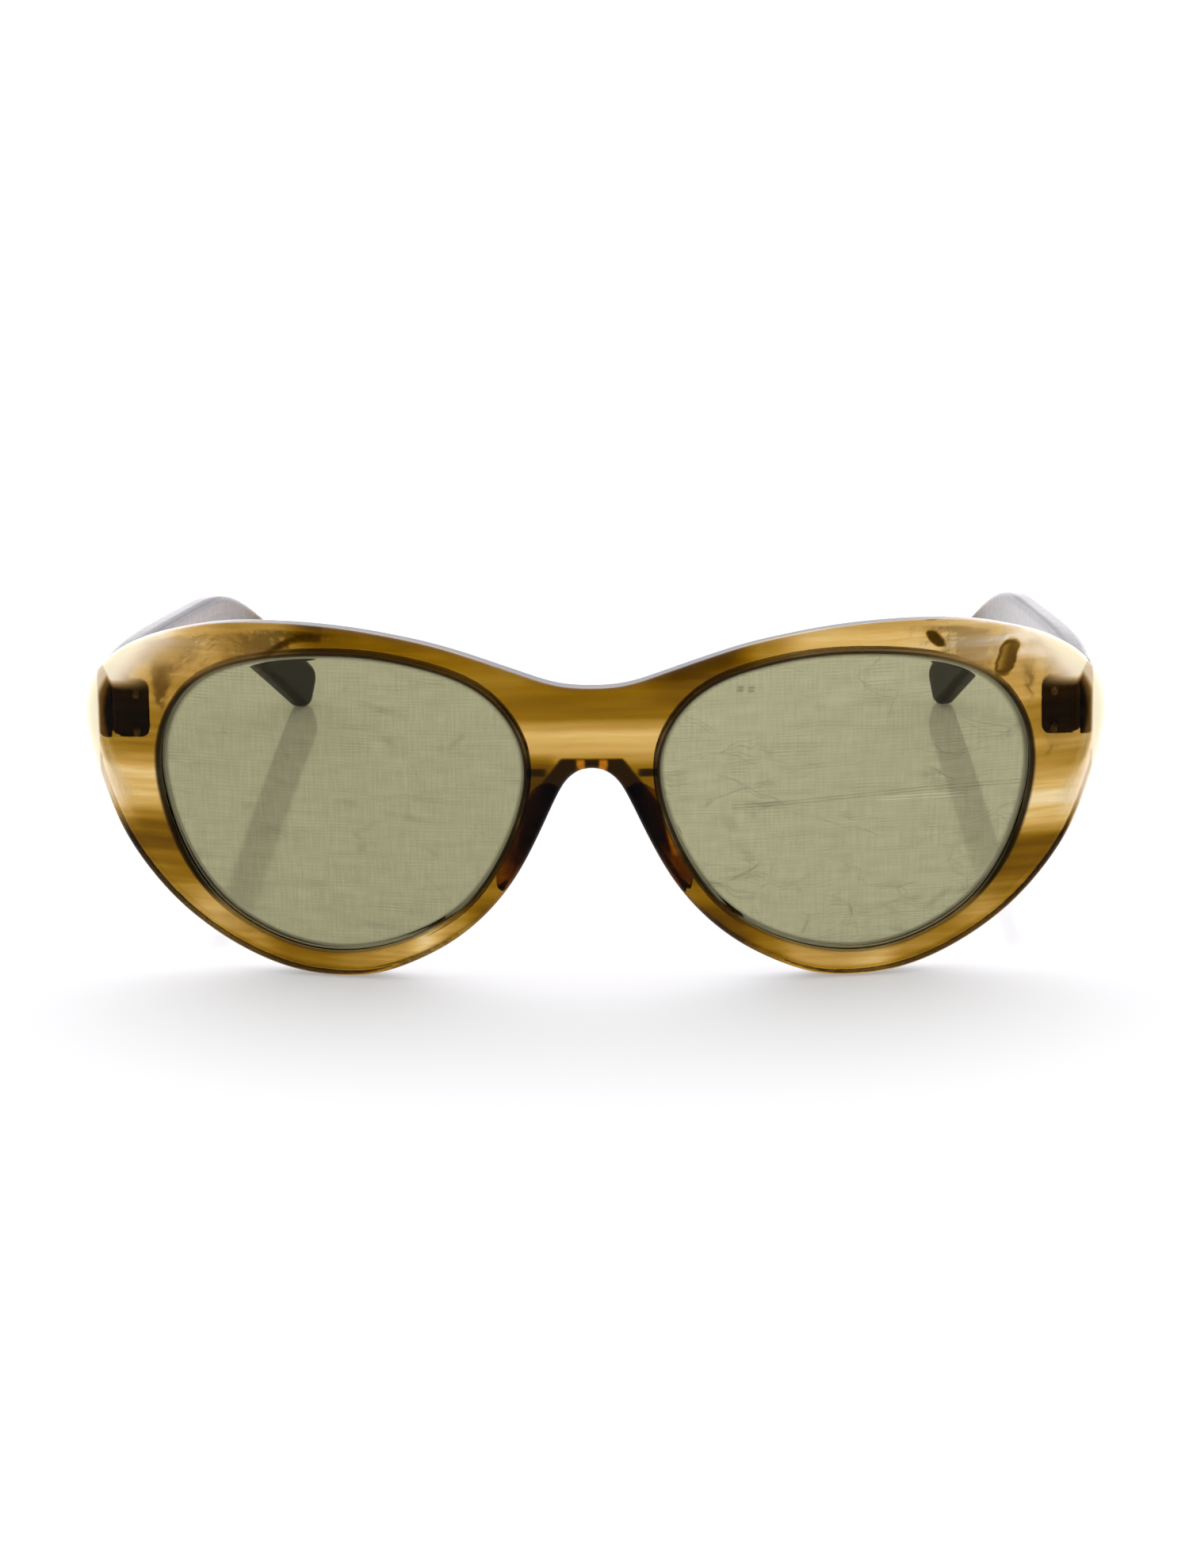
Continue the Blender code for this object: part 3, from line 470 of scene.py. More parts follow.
# --------------------------------------------------------------------- lenses
def lens_shape():
    """A flat-edged body with a ridge round it that sits in the rim's groove."""
    eye, into = eye_loop(360)
    mid, half = FRONT_THICK / 2, 1.0
    body = eye - into * 0.12
    corner, ridge = body - into * 0.10, eye + into * 0.66
    verts, rows, rim = [], [], []

    # The rim weights paint shade on the lens edge: 1 on the edge loops, 0.45 on the outermost face
    # rows.
    def row(points, dark=1.0):
        rows.append(list(range(len(verts), len(verts) + len(points))))
        verts.extend(map(tuple, points))
        rim.extend([dark] * len(points))

    def face(scales, depth):
        for s in scales:
            row(on_front(EYE_CENTRE + (body - EYE_CENTRE) * s, depth), 0.45 if s > 0.98 else 0.0)

    scales = np.concatenate([np.linspace(0.05, 0.95, 15), [0.972, 0.985]])
    face(scales, mid - half)
    for loop, depth in (
            (corner, mid - half + 0.02), (body, mid - half + 0.10), (ridge, mid - 0.08),
            (eye + into * 0.72, mid),
            (ridge, mid + 0.08), (body, mid + half - 0.10), (corner, mid + half - 0.02)):
        row(on_front(loop, depth))
    face(scales[::-1], mid + half)
    faces = strips(rows, True)
    for ring, depth in ((rows[0], mid - half), (rows[-1], mid + half)):
        hub = len(verts)
        verts.append(tuple(on_front(EYE_CENTRE, depth)))
        rim.append(0.0)
        n = len(ring)
        faces += [(ring[i], ring[(i + 1) % n], hub) for i in range(n)]
    return verts, faces, rim


# ------------------------------------------------------------------ nose pads
def pad_shape():
    """A long rounded pad on the rear, along the nose side of the outline."""
    line, inward = outline_half(2000)
    keep = (line[:, 0] < 13.2) & (line[:, 1] < 28.6) & (line[:, 1] > 12.8)
    run, outward = line[keep], -inward[keep]
    count, ring_count = 72, 56
    rings = []
    for k in range(count):
        along = math.sin(math.pi * (k / (count - 1) - 0.5)) * 0.9992
        at = (along + 1) / 2 * (len(run) - 1)
        i = int(min(at, len(run) - 2))
        origin = run[i] + (run[i + 1] - run[i]) * (at - i)
        size = math.sqrt(1 - along * along)
        # The height changes a little from one end to the other.
        high, wide = 4.7 * size * (1 + 0.10 * along), 1.6 * size
        plane, depths = [], []
        for j in range(ring_count):
            w = 2 * math.pi * j / ring_count
            c, s = math.cos(w), math.sin(w)
            depth = FRONT_THICK + 0.16 + high / 2 + high / 2 * math.copysign(abs(s)**0.8, s)
            across = -0.85 + wide * math.copysign(abs(c)**0.8, c) \
                - 0.42 * (depth - FRONT_THICK - 0.25)
            plane.append(origin + outward[i] * across)
            depths.append(depth)
        rings.append(on_front(np.array(plane), np.array(depths)))
    return loft(rings)


# -------------------------------------------------------------------- temples
def stations(shares):
    """Centre, sideways, up, width, height and tangent along the temple."""
    # Width counts three times in the spacing of the spline's knots.
    path = spline([(y, x, z, w * 3, h) for y, x, z, w, h in TEMPLE], False)
    shares = np.asarray(shares, float)
    at, step = path(shares), 1e-4
    ahead, behind = path(np.clip(shares + step, 0, 1)), path(np.clip(shares - step, 0, 1))
    tangent = (ahead - behind)[:, [1, 0, 2]]
    tangent /= np.linalg.norm(tangent, axis=1)[:, None]
    up = np.array([0, 0, 1.0]) - tangent * tangent[:, 2:3]
    up /= np.linalg.norm(up, axis=1)[:, None]
    return at[:, [1, 0, 2]], np.cross(tangent, up), up, at[:, 3] / 3, at[:, 4], tangent


def section(width, height, corner, arc_count=9, side_count=9, belly=0.0):
    """Rounded rectangle (side, up); belly crowns the outer long face."""
    corner = min(corner, 0.47 * width, 0.47 * height)
    points = []
    for cx, cy, start in ((1, -1, -90), (1, 1, 0), (-1, 1, 90), (-1, -1, 180)):
        for k in range(arc_count):
            a = math.radians(start + 90 * k / (arc_count - 1))
            points.append((cx * (width / 2 - corner) + corner * math.cos(a),
                           cy * (height / 2 - corner) + corner * math.sin(a)))
        if start in (-90, 90):
            x0, y0 = points[-1]
            for k in range(1, side_count + 1):
                points.append((x0, y0 + (-y0 - y0) * k / (side_count + 1)))
    out = []
    for x, y in points:
        fullness = 1 - (2 * y / height) ** 2
        out.append((x - (belly * (1 - fullness) if x > 0 else 0), y))
    return out


def temple_shape():
    # The front end is flat, with a small rounded edge: share, inset, distance back.
    butt = [(0.0, 0.30, 0.0), (0.0006, 0.14, 0.07), (0.0016, 0.04, 0.18), (0.003, 0.0, 0.32)]
    shares = np.concatenate([[b[0] for b in butt], np.linspace(0.006, 1.0, 150)])
    centre, sideways, up, width, height, tangent = stations(shares)
    rings = []
    for i in range(len(shares)):
        inset = butt[i][1] if i < len(butt) else 0.0
        ring = [centre[i] + sideways[i] * a + up[i] * b
                for a, b in section(width[i] - 2 * inset, height[i] - 2 * inset,
                                    TEMPLE_CORNER, belly=TEMPLE_BELLY)]
        if i < len(butt):
            y = BUTT_Y + butt[i][2]
            ring = [p + tangent[i] * (y - p[1]) / tangent[i][1] for p in ring]
        rings.append(ring)
    # Rounded tip.
    tip_steps = 25
    for k in range(1, tip_steps + 1):
        a = math.radians(88.0) * k / tip_steps
        tip_width = width[-1] * (1 - math.sin(a)**5) ** 0.5
        rings.append([centre[-1] + tangent[-1] * TIP_R * math.sin(a) + sideways[-1] * p + up[-1] * q
                      for p, q in section(tip_width, 2 * TIP_R * math.cos(a),
                                          TEMPLE_CORNER, belly=TEMPLE_BELLY)])
    verts, faces = loft(rings)
    return [(x, y, max(z, 0.0)) for x, y, z in verts], faces


def core_shape():
    """Flat wire with rounded ends, set along the middle of the temple."""
    shares = np.linspace(0.035, 0.885, 120)
    centre, sideways, up, _, _, _ = stations(shares)
    rings = []
    for i in range(len(shares)):
        end = min(i, len(shares) - 1 - i)
        size = math.sqrt(1 - (1 - min((end + 0.15) / 3.0, 1)) ** 2)
        # Near the hinge it moves aside.
        offset = 0.45 * (1 - smooth_step((centre[i][1] - 16.0) / 14.0))
        rings.append([centre[i] + sideways[i] * (a + offset) + up[i] * b
                      for a, b in section(1.0 * (0.4 + 0.6 * size), 2.5 * size, 0.4, 5, 3)])
    return loft(rings)


# ----------------------------------------------------------------- node tools
class Tree:
    """Short hand for building a node tree."""

    unused = ()     # values for the inputs that a two-value operation ignores

    def __init__(self, tree):
        self.tree = tree

    def new(self, kind, **values):
        node = self.tree.nodes.new(kind)
        for key, value in values.items():
            setattr(node, key, value)
        return node

    def link(self, a, b):
        self.tree.links.new(a, b)

    def put(self, socket, value):
        if isinstance(value, bpy.types.NodeSocket):
            self.link(value, socket)
        else:
            socket.default_value = value

    def split(self, vector):
        node = self.new("ShaderNodeSeparateXYZ")
        self.link(vector, node.inputs[0])
        return node.outputs

    def maths(self, operation, *values, clamp=False):
        node = self.new("ShaderNodeMath", operation=operation, use_clamp=clamp)
        for socket, value in zip(node.inputs, values):
            self.put(socket, value)
        return node.outputs[0]

    def add(self, a, b, clamp=False):
        return self.maths("ADD", a, b, *self.unused, clamp=clamp)

    def sub(self, a, b):
        return self.maths("SUBTRACT", a, b, *self.unused)

    def mul(self, a, b, *more):
        product = self.maths("MULTIPLY", a, b, *self.unused)
        return self.mul(product, *more) if more else product

    def div(self, a, b):
        return self.maths("DIVIDE", a, b, *self.unused)

    def power(self, a, b):
        return self.maths("POWER", a, b, *self.unused)

    def larger(self, a, b):
        return self.maths("MAXIMUM", a, b, *self.unused)

    def smaller(self, a, b):
        return self.maths("MINIMUM", a, b, *self.unused)

    def muladd(self, a, b, c):
        return self.maths("MULTIPLY_ADD", a, b, c)

    def size(self, a):
        return self.maths("ABSOLUTE", a, 0.0, 0.0)

    def ease(self, value, start, end, to=(0.0, 1.0)):
        """Goes smoothly between the values of to while value goes from start to end."""
        node = self.new("ShaderNodeMapRange", interpolation_type="SMOOTHSTEP")
        self.put(node.inputs["Value"], value)
        for key, v in (("From Min", start), ("From Max", end), ("To Min", to[0]), ("To Max", to[1])):
            self.put(node.inputs[key], v)
        return node.outputs["Result"]

    def mix(self, factor, a, b):
        node = self.new("ShaderNodeMix", data_type="FLOAT")
        for i, value in ((0, factor), (2, a), (3, b)):
            self.put(node.inputs[i], value)
        return node.outputs[0]

    def mix_colour(self, factor, a, b):
        node = self.new("ShaderNodeMix", data_type="RGBA")
        for i, value in ((0, factor), (6, a), (7, b)):
            self.put(node.inputs[i], value)
        return node.outputs[2]


class Material(Tree):
    """A material's tree; x, y, z and place are object coordinates in millimetres."""

    unused = (0.0,)

    def __init__(self, name):
        self.mat = bpy.data.materials.new(name)
        self.mat.use_nodes = True
        super().__init__(self.mat.node_tree)
        self.bsdf = self.tree.nodes["Principled BSDF"]
        self.output = self.tree.nodes["Material Output"]
        coord = self.new("ShaderNodeTexCoord")
        scale = self.new("ShaderNodeVectorMath", operation="SCALE")
        self.link(coord.outputs["Object"], scale.inputs[0])
        scale.inputs["Scale"].default_value = 1000.0
        self.place = scale.outputs[0]
        self.x, self.y, self.z = self.split(self.place)[:3]

    def set(self, **values):
        """Sets shader inputs; underscores stand for spaces."""
        for key, value in values.items():
            self.put(self.bsdf.inputs[key.replace("_", " ")], value)

    def attribute(self, name):
        return self.new("ShaderNodeAttribute", attribute_name=name).outputs["Fac"]

    def ramp(self, value, stops, mode):
        """stops are (position, grey level or colour)."""
        node = self.new("ShaderNodeValToRGB")
        node.color_ramp.interpolation = mode
        elements = node.color_ramp.elements
        while len(elements) < len(stops):
            elements.new(0.5)
        for element, (at, colour) in zip(elements, stops):
            element.position = at
            if not isinstance(colour, tuple):
                colour = (colour, colour, colour)
            element.color = (*colour, 1.0)
        self.put(node.inputs[0], value)
        return node.outputs[0]

    def vector(self, x, y, z):
        node = self.new("ShaderNodeCombineXYZ")
        for socket, value in zip(node.inputs, (x, y, z)):
            self.put(socket, value)
        return node.outputs[0]

    def noise(self, vector, scale, detail=2.0, rough=0.5):
        node = self.new("ShaderNodeTexNoise")
        self.put(node.inputs["Vector"], vector)
        for key, value in (("Scale", scale), ("Detail", detail), ("Roughness", rough)):
            node.inputs[key].default_value = value
        return node.outputs["Fac"]

    def streaks(self, place, per_mm, detail=2.0, rough=0.5, scale=1.0):
        """Noise stretched along the axes where per_mm is small."""
        parts = [self.mul(part, rate) if isinstance(part, bpy.types.NodeSocket) else part * rate
                 for part, rate in zip(place, per_mm)]
        return self.noise(self.vector(*parts), scale, detail, rough)

    def centred(self, noise):
        return self.sub(noise, 0.5)

    def stripe(self, value, at, solid, edge):
        """1 within solid of at, fading to 0 at edge."""
        return self.ease(self.size(self.sub(value, at)), solid, edge, (1.0, 0.0))

    def top_coat(self, low, high):
        """Coat weight: low on upright faces, high on those that face up."""
        facing = self.split(self.new("ShaderNodeNewGeometry").outputs["True Normal"])["Z"]
        return self.ease(facing, 0.0, 0.85, (low, high))

    def bump(self, height, strength, distance):
        node = self.new("ShaderNodeBump")
        for key, value in (("Height", height), ("Strength", strength), ("Distance", distance)):
            self.put(node.inputs[key], value)
        self.link(node.outputs[0], self.bsdf.inputs["Normal"])

    def absorb(self, per_metre):
        """A clear volume that takes away this much light per metre in each colour."""
        density = max(per_metre) * 1.05
        node = self.new("ShaderNodeVolumeAbsorption")
        node.inputs["Color"].default_value = (*[1 - a / density for a in per_metre], 1.0)
        node.inputs["Density"].default_value = density
        self.link(node.outputs[0], self.output.inputs["Volume"])


def linear(*rgb):
    return tuple(c / 12.92 if c <= 0.04045 else ((c + 0.055) / 1.055) ** 2.4 for c in rgb)


# -------------------------------------------------------------------- acetate
# Acetate tones by brightness, as seen through the thickness of the front.
TONES = [
    (0.00, (0.03, 0.015, 0.0)), (0.20, (0.20, 0.13, 0.02)), (0.32, (0.32, 0.21, 0.015)),
    (0.45, (0.45, 0.315, 0.02)), (0.52, (0.52, 0.375, 0.05)), (0.58, (0.58, 0.44, 0.12)),
    (0.66, (0.66, 0.51, 0.21)), (0.75, (0.75, 0.60, 0.31)), (0.81, (0.81, 0.67, 0.38)),
    (0.88, (0.88, 0.78, 0.55)), (0.94, (0.94, 0.90, 0.80)), (1.00, (0.98, 0.96, 0.92)),
]
CLEAR = (1.12, 1.04, 0.78)      # what the volume alone lets through of the table's light

# Tones over the front. The first three run up it, as shares of FRONT_HIGH; the last
# two run across it from -X to +X, as shares of its width.
FRONT_HIGH, FRONT_HALF = 52.0, 72.0
RIGHT_TONES = [
    (0.25, 0.58), (0.29, 0.50), (0.33, 0.48), (0.365, 0.42), (0.404, 0.45), (0.44, 0.58),
    (0.475, 0.80), (0.52, 0.82), (0.565, 0.83), (0.60, 0.66), (0.635, 0.59), (0.70, 0.56),
    (0.78, 0.62), (0.86, 0.72),
]
LEFT_TONES = [
    (0.25, 0.55), (0.29, 0.43), (0.33, 0.41), (0.365, 0.42), (0.40, 0.68), (0.44, 0.82),
    (0.48, 0.87), (0.52, 0.84), (0.555, 0.71), (0.595, 0.59), (0.64, 0.69), (0.70, 0.60),
    (0.78, 0.70), (0.86, 0.80),
]
BRIDGE_TONES = [
    (0.60, 0.44), (0.625, 0.52), (0.65, 0.68), (0.675, 0.79), (0.712, 0.81), (0.735, 0.68),
    (0.76, 0.50), (0.79, 0.46), (0.83, 0.50),
]
LOW_RIM_TONES = [
    (0.08, 0.56), (0.125, 0.82), (0.16, 0.68), (0.20, 0.48), (0.225, 0.50), (0.27, 0.62),
    (0.305, 0.68), (0.335, 0.86), (0.365, 0.62), (0.40, 0.36), (0.60, 0.26), (0.635, 0.36),
    (0.67, 0.54), (0.70, 0.72), (0.735, 0.72), (0.775, 0.80), (0.805, 0.62), (0.84, 0.59),
    (0.88, 0.68), (0.91, 0.56),
]
TOP_RIM_TONES = [
    (0.0, 0.95), (0.07, 0.90), (0.118, 0.80), (0.153, 0.66), (0.19, 0.68), (0.236, 0.42),
    (0.29, 0.50), (0.36, 0.53), (0.42, 0.56), (0.50, 0.48), (0.58, 0.38), (0.63, 0.41),
    (0.667, 0.61), (0.708, 0.80), (0.77, 0.76), (0.82, 0.80), (0.85, 0.83), (0.885, 0.86),
    (0.92, 0.90), (1.0, 0.96),
]


def tones(m, value, share=1.0):
    stops = [(at, tuple(min((c / k) ** share, 1.0) for c, k in zip(linear(*rgb), CLEAR)))
             for at, rgb in TONES]
    return m.ramp(value, stops, "LINEAR")


def glassy(m, colour, roughness, coat, clear=1.0):
    """Acetate: clear is how much of it is see-through; the rest scatters."""
    m.set(Base_Color=colour, Roughness=roughness, IOR=1.49, Transmission_Weight=clear,
          Subsurface_Weight=1.0, Subsurface_Scale=0.004, Subsurface_Radius=(1.0, 0.8, 0.45),
          Specular_Tint=(0.05, 0.048, 0.055, 1.0),
          Coat_Weight=coat, Coat_Roughness=0.03, Coat_IOR=1.26)


def polish(m, smoothest, roughest):
    """Roughness that varies in broad patches."""
    return m.ease(m.noise(m.place, 0.12, 3.0), 0.35, 0.7, (smoothest, roughest))


def front_regions(m, z, drifted_z, from_centre):
    """The broad tones of the sides, lower rims, bridge and top."""
    x = m.x
    up = m.div(drifted_z, FRONT_HIGH)
    across = m.div(m.add(x, FRONT_HALF), 2 * FRONT_HALF)
    side = m.mix(m.ease(x, -1.0, 1.0), m.ramp(up, RIGHT_TONES, "EASE"),
                 m.ramp(up, LEFT_TONES, "EASE"))
    tone = m.mix(m.ease(drifted_z, 9.0, 15.0), m.ramp(across, LOW_RIM_TONES, "EASE"), side)
    in_bridge = m.mul(m.ease(from_centre, 24.0, 14.0), m.ease(z, 24.0, 30.0))
    tone = m.mix(in_bridge, tone, m.ramp(up, BRIDGE_TONES, "EASE"))
    # The top region starts 1.6 mm higher at the sides than at the centre.
    in_top = m.ease(m.muladd(m.ease(from_centre, 8.0, 24.0), -1.6, z), 42.0, 45.5)
    return m.mix(in_top, tone, m.ramp(across, TOP_RIM_TONES, "EASE"))


def refraction_mark(m, z, fine, at, level, half, tall, lean):
    """Distance from the centre of a leaning painted refraction mark (1 at its edge), and its X
    share.
    """
    rise = m.sub(z, level)
    across = m.div(m.sub(m.muladd(rise, -lean, m.x), at), half)
    far = m.add(m.power(m.size(across), 3.0), m.power(m.size(m.div(rise, tall)), 3.0))
    return m.muladd(m.centred(fine), 1.6, far), across


def front_marks(m, tone, z, fine):
    """Small dark marks, some of them painted refraction of the temple seen through the rim; also
    returns the masks of the two painted refraction marks.
    """
    x = m.x
    # Beside the bridge at the top left, then in the arch on the right.
    patch = m.mul(m.ease(x, 6.0, 12.0), m.ease(x, 24.0, 17.0), m.ease(z, 40.0, 42.5, (0.0, 0.08)))
    tone = m.sub(tone, patch)
    tone = m.sub(tone, m.mul(m.ease(x, -4.0, -6.5),
                             m.mul(m.ease(x, -13.0, -11.0), m.ease(z, 34.6, 33.2, (0.0, 0.15)))))
    # A dark arc in the top of the right rim, falling 3 mm towards the side: painted refraction of
    # the temple tip seen through the rim.
    fall = m.power(m.mul(m.ease(x, -38.0, -47.0), 1.0), 2.0)
    bow = m.muladd(fall, -3.0, 49.75)
    tip_refraction_arc = m.mul(m.stripe(z, bow, 0.15, 0.75),
                m.mul(m.ease(x, -47.5, -43.5), m.ease(x, -37.2, -37.9)))
    tone = m.mix(m.mul(tip_refraction_arc, 0.62), tone, 0.12)
    # Two dark marks in the top of the left rim, painted refraction of the temple seen through it;
    # the outer one has a pale heart, a painted highlight.
    outer, share = refraction_mark(m, z, fine, at=57.6, level=45.8, half=1.35, tall=2.5, lean=0.28)
    inner, _ = refraction_mark(m, z, fine, at=47.6, level=48.9, half=0.9, tall=1.1, lean=-0.7)
    heart_highlight = m.ease(share, -0.75, 0.35, (0.66, 0.24))
    outer_refraction_dark = m.ease(outer, 0.6, 1.4, (0.78, 0.0))
    inner_refraction_dark = m.ease(inner, 0.6, 1.5, (0.78, 0.0))
    tone = m.mix(outer_refraction_dark, tone, m.mix(m.ease(outer, 0.15, 0.8), heart_highlight, 0.13))
    return m.mix(inner_refraction_dark, tone, 0.10), outer_refraction_dark, inner_refraction_dark


def nose_band(m, tone, z, from_centre):
    """A dark band that follows the arch, a painted refraction of the nose pads seen through the
    front, and a short bar beside each opening.
    """
    # The band is 4.05 mm to each side at z 33.9. Going down it widens by 0.77 per mm
    # for 7 mm, and by 0.2 per mm below that.
    down = m.sub(33.9, z)
    lower = m.larger(m.sub(down, 7.0), 0.0)
    half = m.muladd(m.smaller(down, 7.0), 0.77, m.muladd(lower, 0.2, 4.05))
    band = m.mul(m.ease(m.sub(from_centre, half), -0.35, 0.35, (1.0, 0.0)),
                 m.mul(m.ease(z, 33.85, 33.35), m.ease(z, 10.0, 18.0)))
    bar = m.mul(m.stripe(z, 31.6, 0.3, 0.75),
                m.mul(m.ease(from_centre, 6.0, 7.0), m.ease(from_centre, 11.0, 10.2)))
    tone = m.mix(m.larger(band, m.mul(bar, 0.97)), tone, m.ease(z, 15.0, 25.5, (0.42, 0.09)))
    return tone, band


def lens_seat_shade(m, z):
    """Painted shade: the dark line where the lens is seated, standing in for the groove's shadow;
    broad above, thin along the lower edge.
    """
    eye = m.attribute("eye_mm")
    width = m.ease(z, 5.0, 19.0, (0.22, 0.92))
    seat_shade = m.mul(m.ease(m.div(eye, width), 0.40, 1.0, (1.0, 0.0)),
                 m.ease(z, 7.0, 14.0, (0.45, 1.0)))
    return m.larger(seat_shade, m.mul(m.ease(eye, 0.0, 0.04, (0.92, 0.0)),
                                m.ease(z, 8.0, 16.0, (0.55, 1.0))))


def front_acetate():
    m = Material("honey_acetate_front")
    x, y = m.x, m.y
    depth = m.attribute("depth_mm")
    # The streaks lie in sheets that lean back a little, and they wander by 2.2 mm.
    z = m.muladd(depth, 0.213, m.z)
    warp = m.centred(m.streaks((x, 3.1, z), (0.030, 1, 0.06)))
    drifted_z = m.muladd(warp, 2.2, z)
    from_centre = m.size(x)
    tone = front_regions(m, z, drifted_z, from_centre)
    fine = m.streaks((x, y, drifted_z), (0.060, 0.05, 0.95), 3.0, 0.6)
    broad = m.streaks((x, y, z), (0.020, 0.02, 0.24))
    tone = m.add(tone, m.mul(m.centred(fine), m.ease(from_centre, 10.0, 26.0, (0.17, 0.28))))
    tone = m.add(tone, m.mul(m.centred(broad), 0.18))
    tone, outer_refraction_dark, inner_refraction_dark = front_marks(m, tone, z, fine)

    # Nearly clear at the far ends, in a strip down the outer edge and in the corners.
    edge = m.attribute("edge_mm")
    strip_width = m.ease(z, 27.5, 31.0, (3.6, 2.3))
    strip_edge = m.ease(z, 27.5, 31.0, (0.2, 0.6))
    strip = m.mul(m.ease(m.div(edge, strip_width), 1.0, strip_edge),
                  m.ease(z, 19.5, 27.5), m.ease(from_centre, 58.0, 64.0))
    corner = m.mul(m.ease(m.muladd(z, 0.73, from_centre), 91.5, 99.5), m.ease(z, 40.8, 42.6),
                   m.ease(m.muladd(from_centre, -1.85, z), -84.6, -82.8))
    ends = m.larger(m.larger(m.ease(from_centre, 68.9, 70.4), strip), corner)
    tone = m.mix(ends, tone, 0.955)
    # Painted shade: the lower outer edge is darker, as it gathers less light.
    low_edge_shade = m.mul(m.ease(edge, 0.1, 0.9, (1.0, 0.0)), m.ease(z, 12.0, 5.0))
    tone = m.mul(tone, m.mix(low_edge_shade, 1.0, 0.62))

    tone, band = nose_band(m, tone, z, from_centre)
    colour = tones(m, tone)
    # Two honey stripes at the crown of the band.
    stripes = m.mul(m.stripe(from_centre, 1.6, 0.30, 0.78), m.ease(z, 34.0, 33.0))
    colour = m.mix_colour(m.mul(band, stripes), colour, (*linear(0.64, 0.41, 0.08), 1.0))
    # Painted shade round the lens opening; it also lets less light through.
    seat_shade = lens_seat_shade(m, z)
    colour = m.mix_colour(m.mul(seat_shade, 0.96), colour, (0.012, 0.007, 0.002, 1.0))

    # The rear is less polished, so only what touches it shows clearly.
    rear = m.ease(depth, 3.2, 4.1)
    rough = m.mix(rear, polish(m, 0.02, 0.06), 0.20)
    # The cream ends and corners are cloudy; the light they carry along the sheet is painted in as
    # emission below.
    tip = m.ease(from_centre, 69.35, 69.95)
    cream = m.larger(tip, m.larger(m.mul(corner, 0.95), m.mul(strip, 0.6)))
    # A thinner cloud over the upper outer part, half as strong on the right.
    veil = m.mul(m.mul(m.ease(from_centre, 40.0, 60.0), m.ease(z, 41.0, 45.5)),
                 m.ease(x, -1.0, 1.0, (0.5, 1.0)))
    milky = m.larger(m.mul(cream, m.ease(cream, 0.5, 0.9, (0.75, 1.0))), m.mul(veil, 0.38))
    pale = m.mix_colour(rear, (*linear(0.95, 0.92, 0.83), 1.0), (*linear(0.84, 0.73, 0.47), 1.0))
    colour = m.mix_colour(m.mul(cream, cream), colour, pale)
    clear = m.mul(m.muladd(milky, -0.85, 1.0), m.muladd(seat_shade, -0.96, 1.0))
    glassy(m, colour, rough, m.top_coat(0.05, 0.32), clear)

    # Painted light: emission makes the pale parts and the upper outer corners glow, honey to cream,
    # standing in for light the sheet carries; none in the painted refraction marks.
    glow = m.larger(m.larger(cream, strip), m.mul(veil, 0.44))
    glow = m.larger(glow, m.mul(m.ease(from_centre, 54.0, 61.0), m.ease(z, 43.5, 46.5, (0.0, 0.75))))
    glow = m.mul(glow, m.sub(1.0, m.larger(outer_refraction_dark, inner_refraction_dark)))
    m.set(Emission_Color=m.mix_colour(m.mul(cream, cream), (1.0, 0.60, 0.16, 1.0),
                                      (1.0, 0.97, 0.90, 1.0)),
          Emission_Strength=m.mul(glow, m.mix(rear, 0.27, 0.06)))
    m.absorb((22.0, 41.0, 113.0))
    m.bump(m.noise(m.place, 0.55, 3.0, 0.55), strength=0.12, distance=0.0004)
    return m.mat


def temple_acetate():
    m = Material("honey_acetate_temple")
    x, y, z = m.x, m.y, m.z
    warp = m.centred(m.streaks((2.0, y, z), (1, 0.022, 0.05)))
    # Streaks follow the temple: height above its centre line, which falls by 0.16 per
    # mm and then by 0.45 more behind y 27.
    height = m.muladd(y, 0.16, z)
    height = m.add(height, m.mul(m.larger(m.sub(y, 27.0), 0.0), 0.45))
    height = m.muladd(warp, 6.0, height)
    broad = m.streaks((x, y, height), (0.05, 0.016, 0.30))
    fine = m.streaks((x, y, height), (0.10, 0.04, 1.1), 3.0, 0.6)
    tone = m.muladd(m.centred(broad), 1.15, 0.58)
    tone = m.add(tone, m.mul(m.centred(fine), 0.22))
    # Painted shade: darker towards the tip, where the light's way through is long; pale towards the
    # hinge.
    tone = m.mix(m.ease(y, 20.0, 52.0, (0.0, 0.85)), tone, 0.13)
    tone = m.mix(m.ease(y, -26.0, -56.0, (0.0, 0.55)), tone, 0.84)
    colour = tones(m, tone, 0.8)
    # Painted shade: the tips are coloured dark and let little through, and seen along their length
    # they are painted close to black, standing in for the light's long way through them.
    tip = m.ease(y, 26.0, 48.0)
    turn = m.new("ShaderNodeVectorTransform", vector_type="VECTOR",
                 convert_from="WORLD", convert_to="OBJECT")
    m.link(m.new("ShaderNodeNewGeometry").outputs["Incoming"], turn.inputs[0])
    sight = m.split(turn.outputs[0])
    along = m.mul(m.ease(m.size(sight["Y"]), 0.86, 0.98), m.ease(y, 40.0, 50.0))
    colour = m.mix_colour(m.mul(along, 0.92), colour, (0.004, 0.0032, 0.0015, 1.0))
    rough = polish(m, 0.03, 0.08)
    clear = m.mul(m.muladd(tip, -0.93, 1.0), m.muladd(along, -0.9, 1.0))
    coat = m.mul(m.top_coat(0.03, 0.36), m.ease(y, 36.0, 50.0, (1.0, 0.12)))
    glassy(m, colour, rough, coat, clear)
    m.set(Specular_IOR_Level=m.mix(tip, 0.5, 0.05))
    m.absorb((215.0, 330.0, 620.0))
    m.bump(m.noise(m.place, 0.5, 3.0, 0.55), strength=0.12, distance=0.0004)
    return m.mat


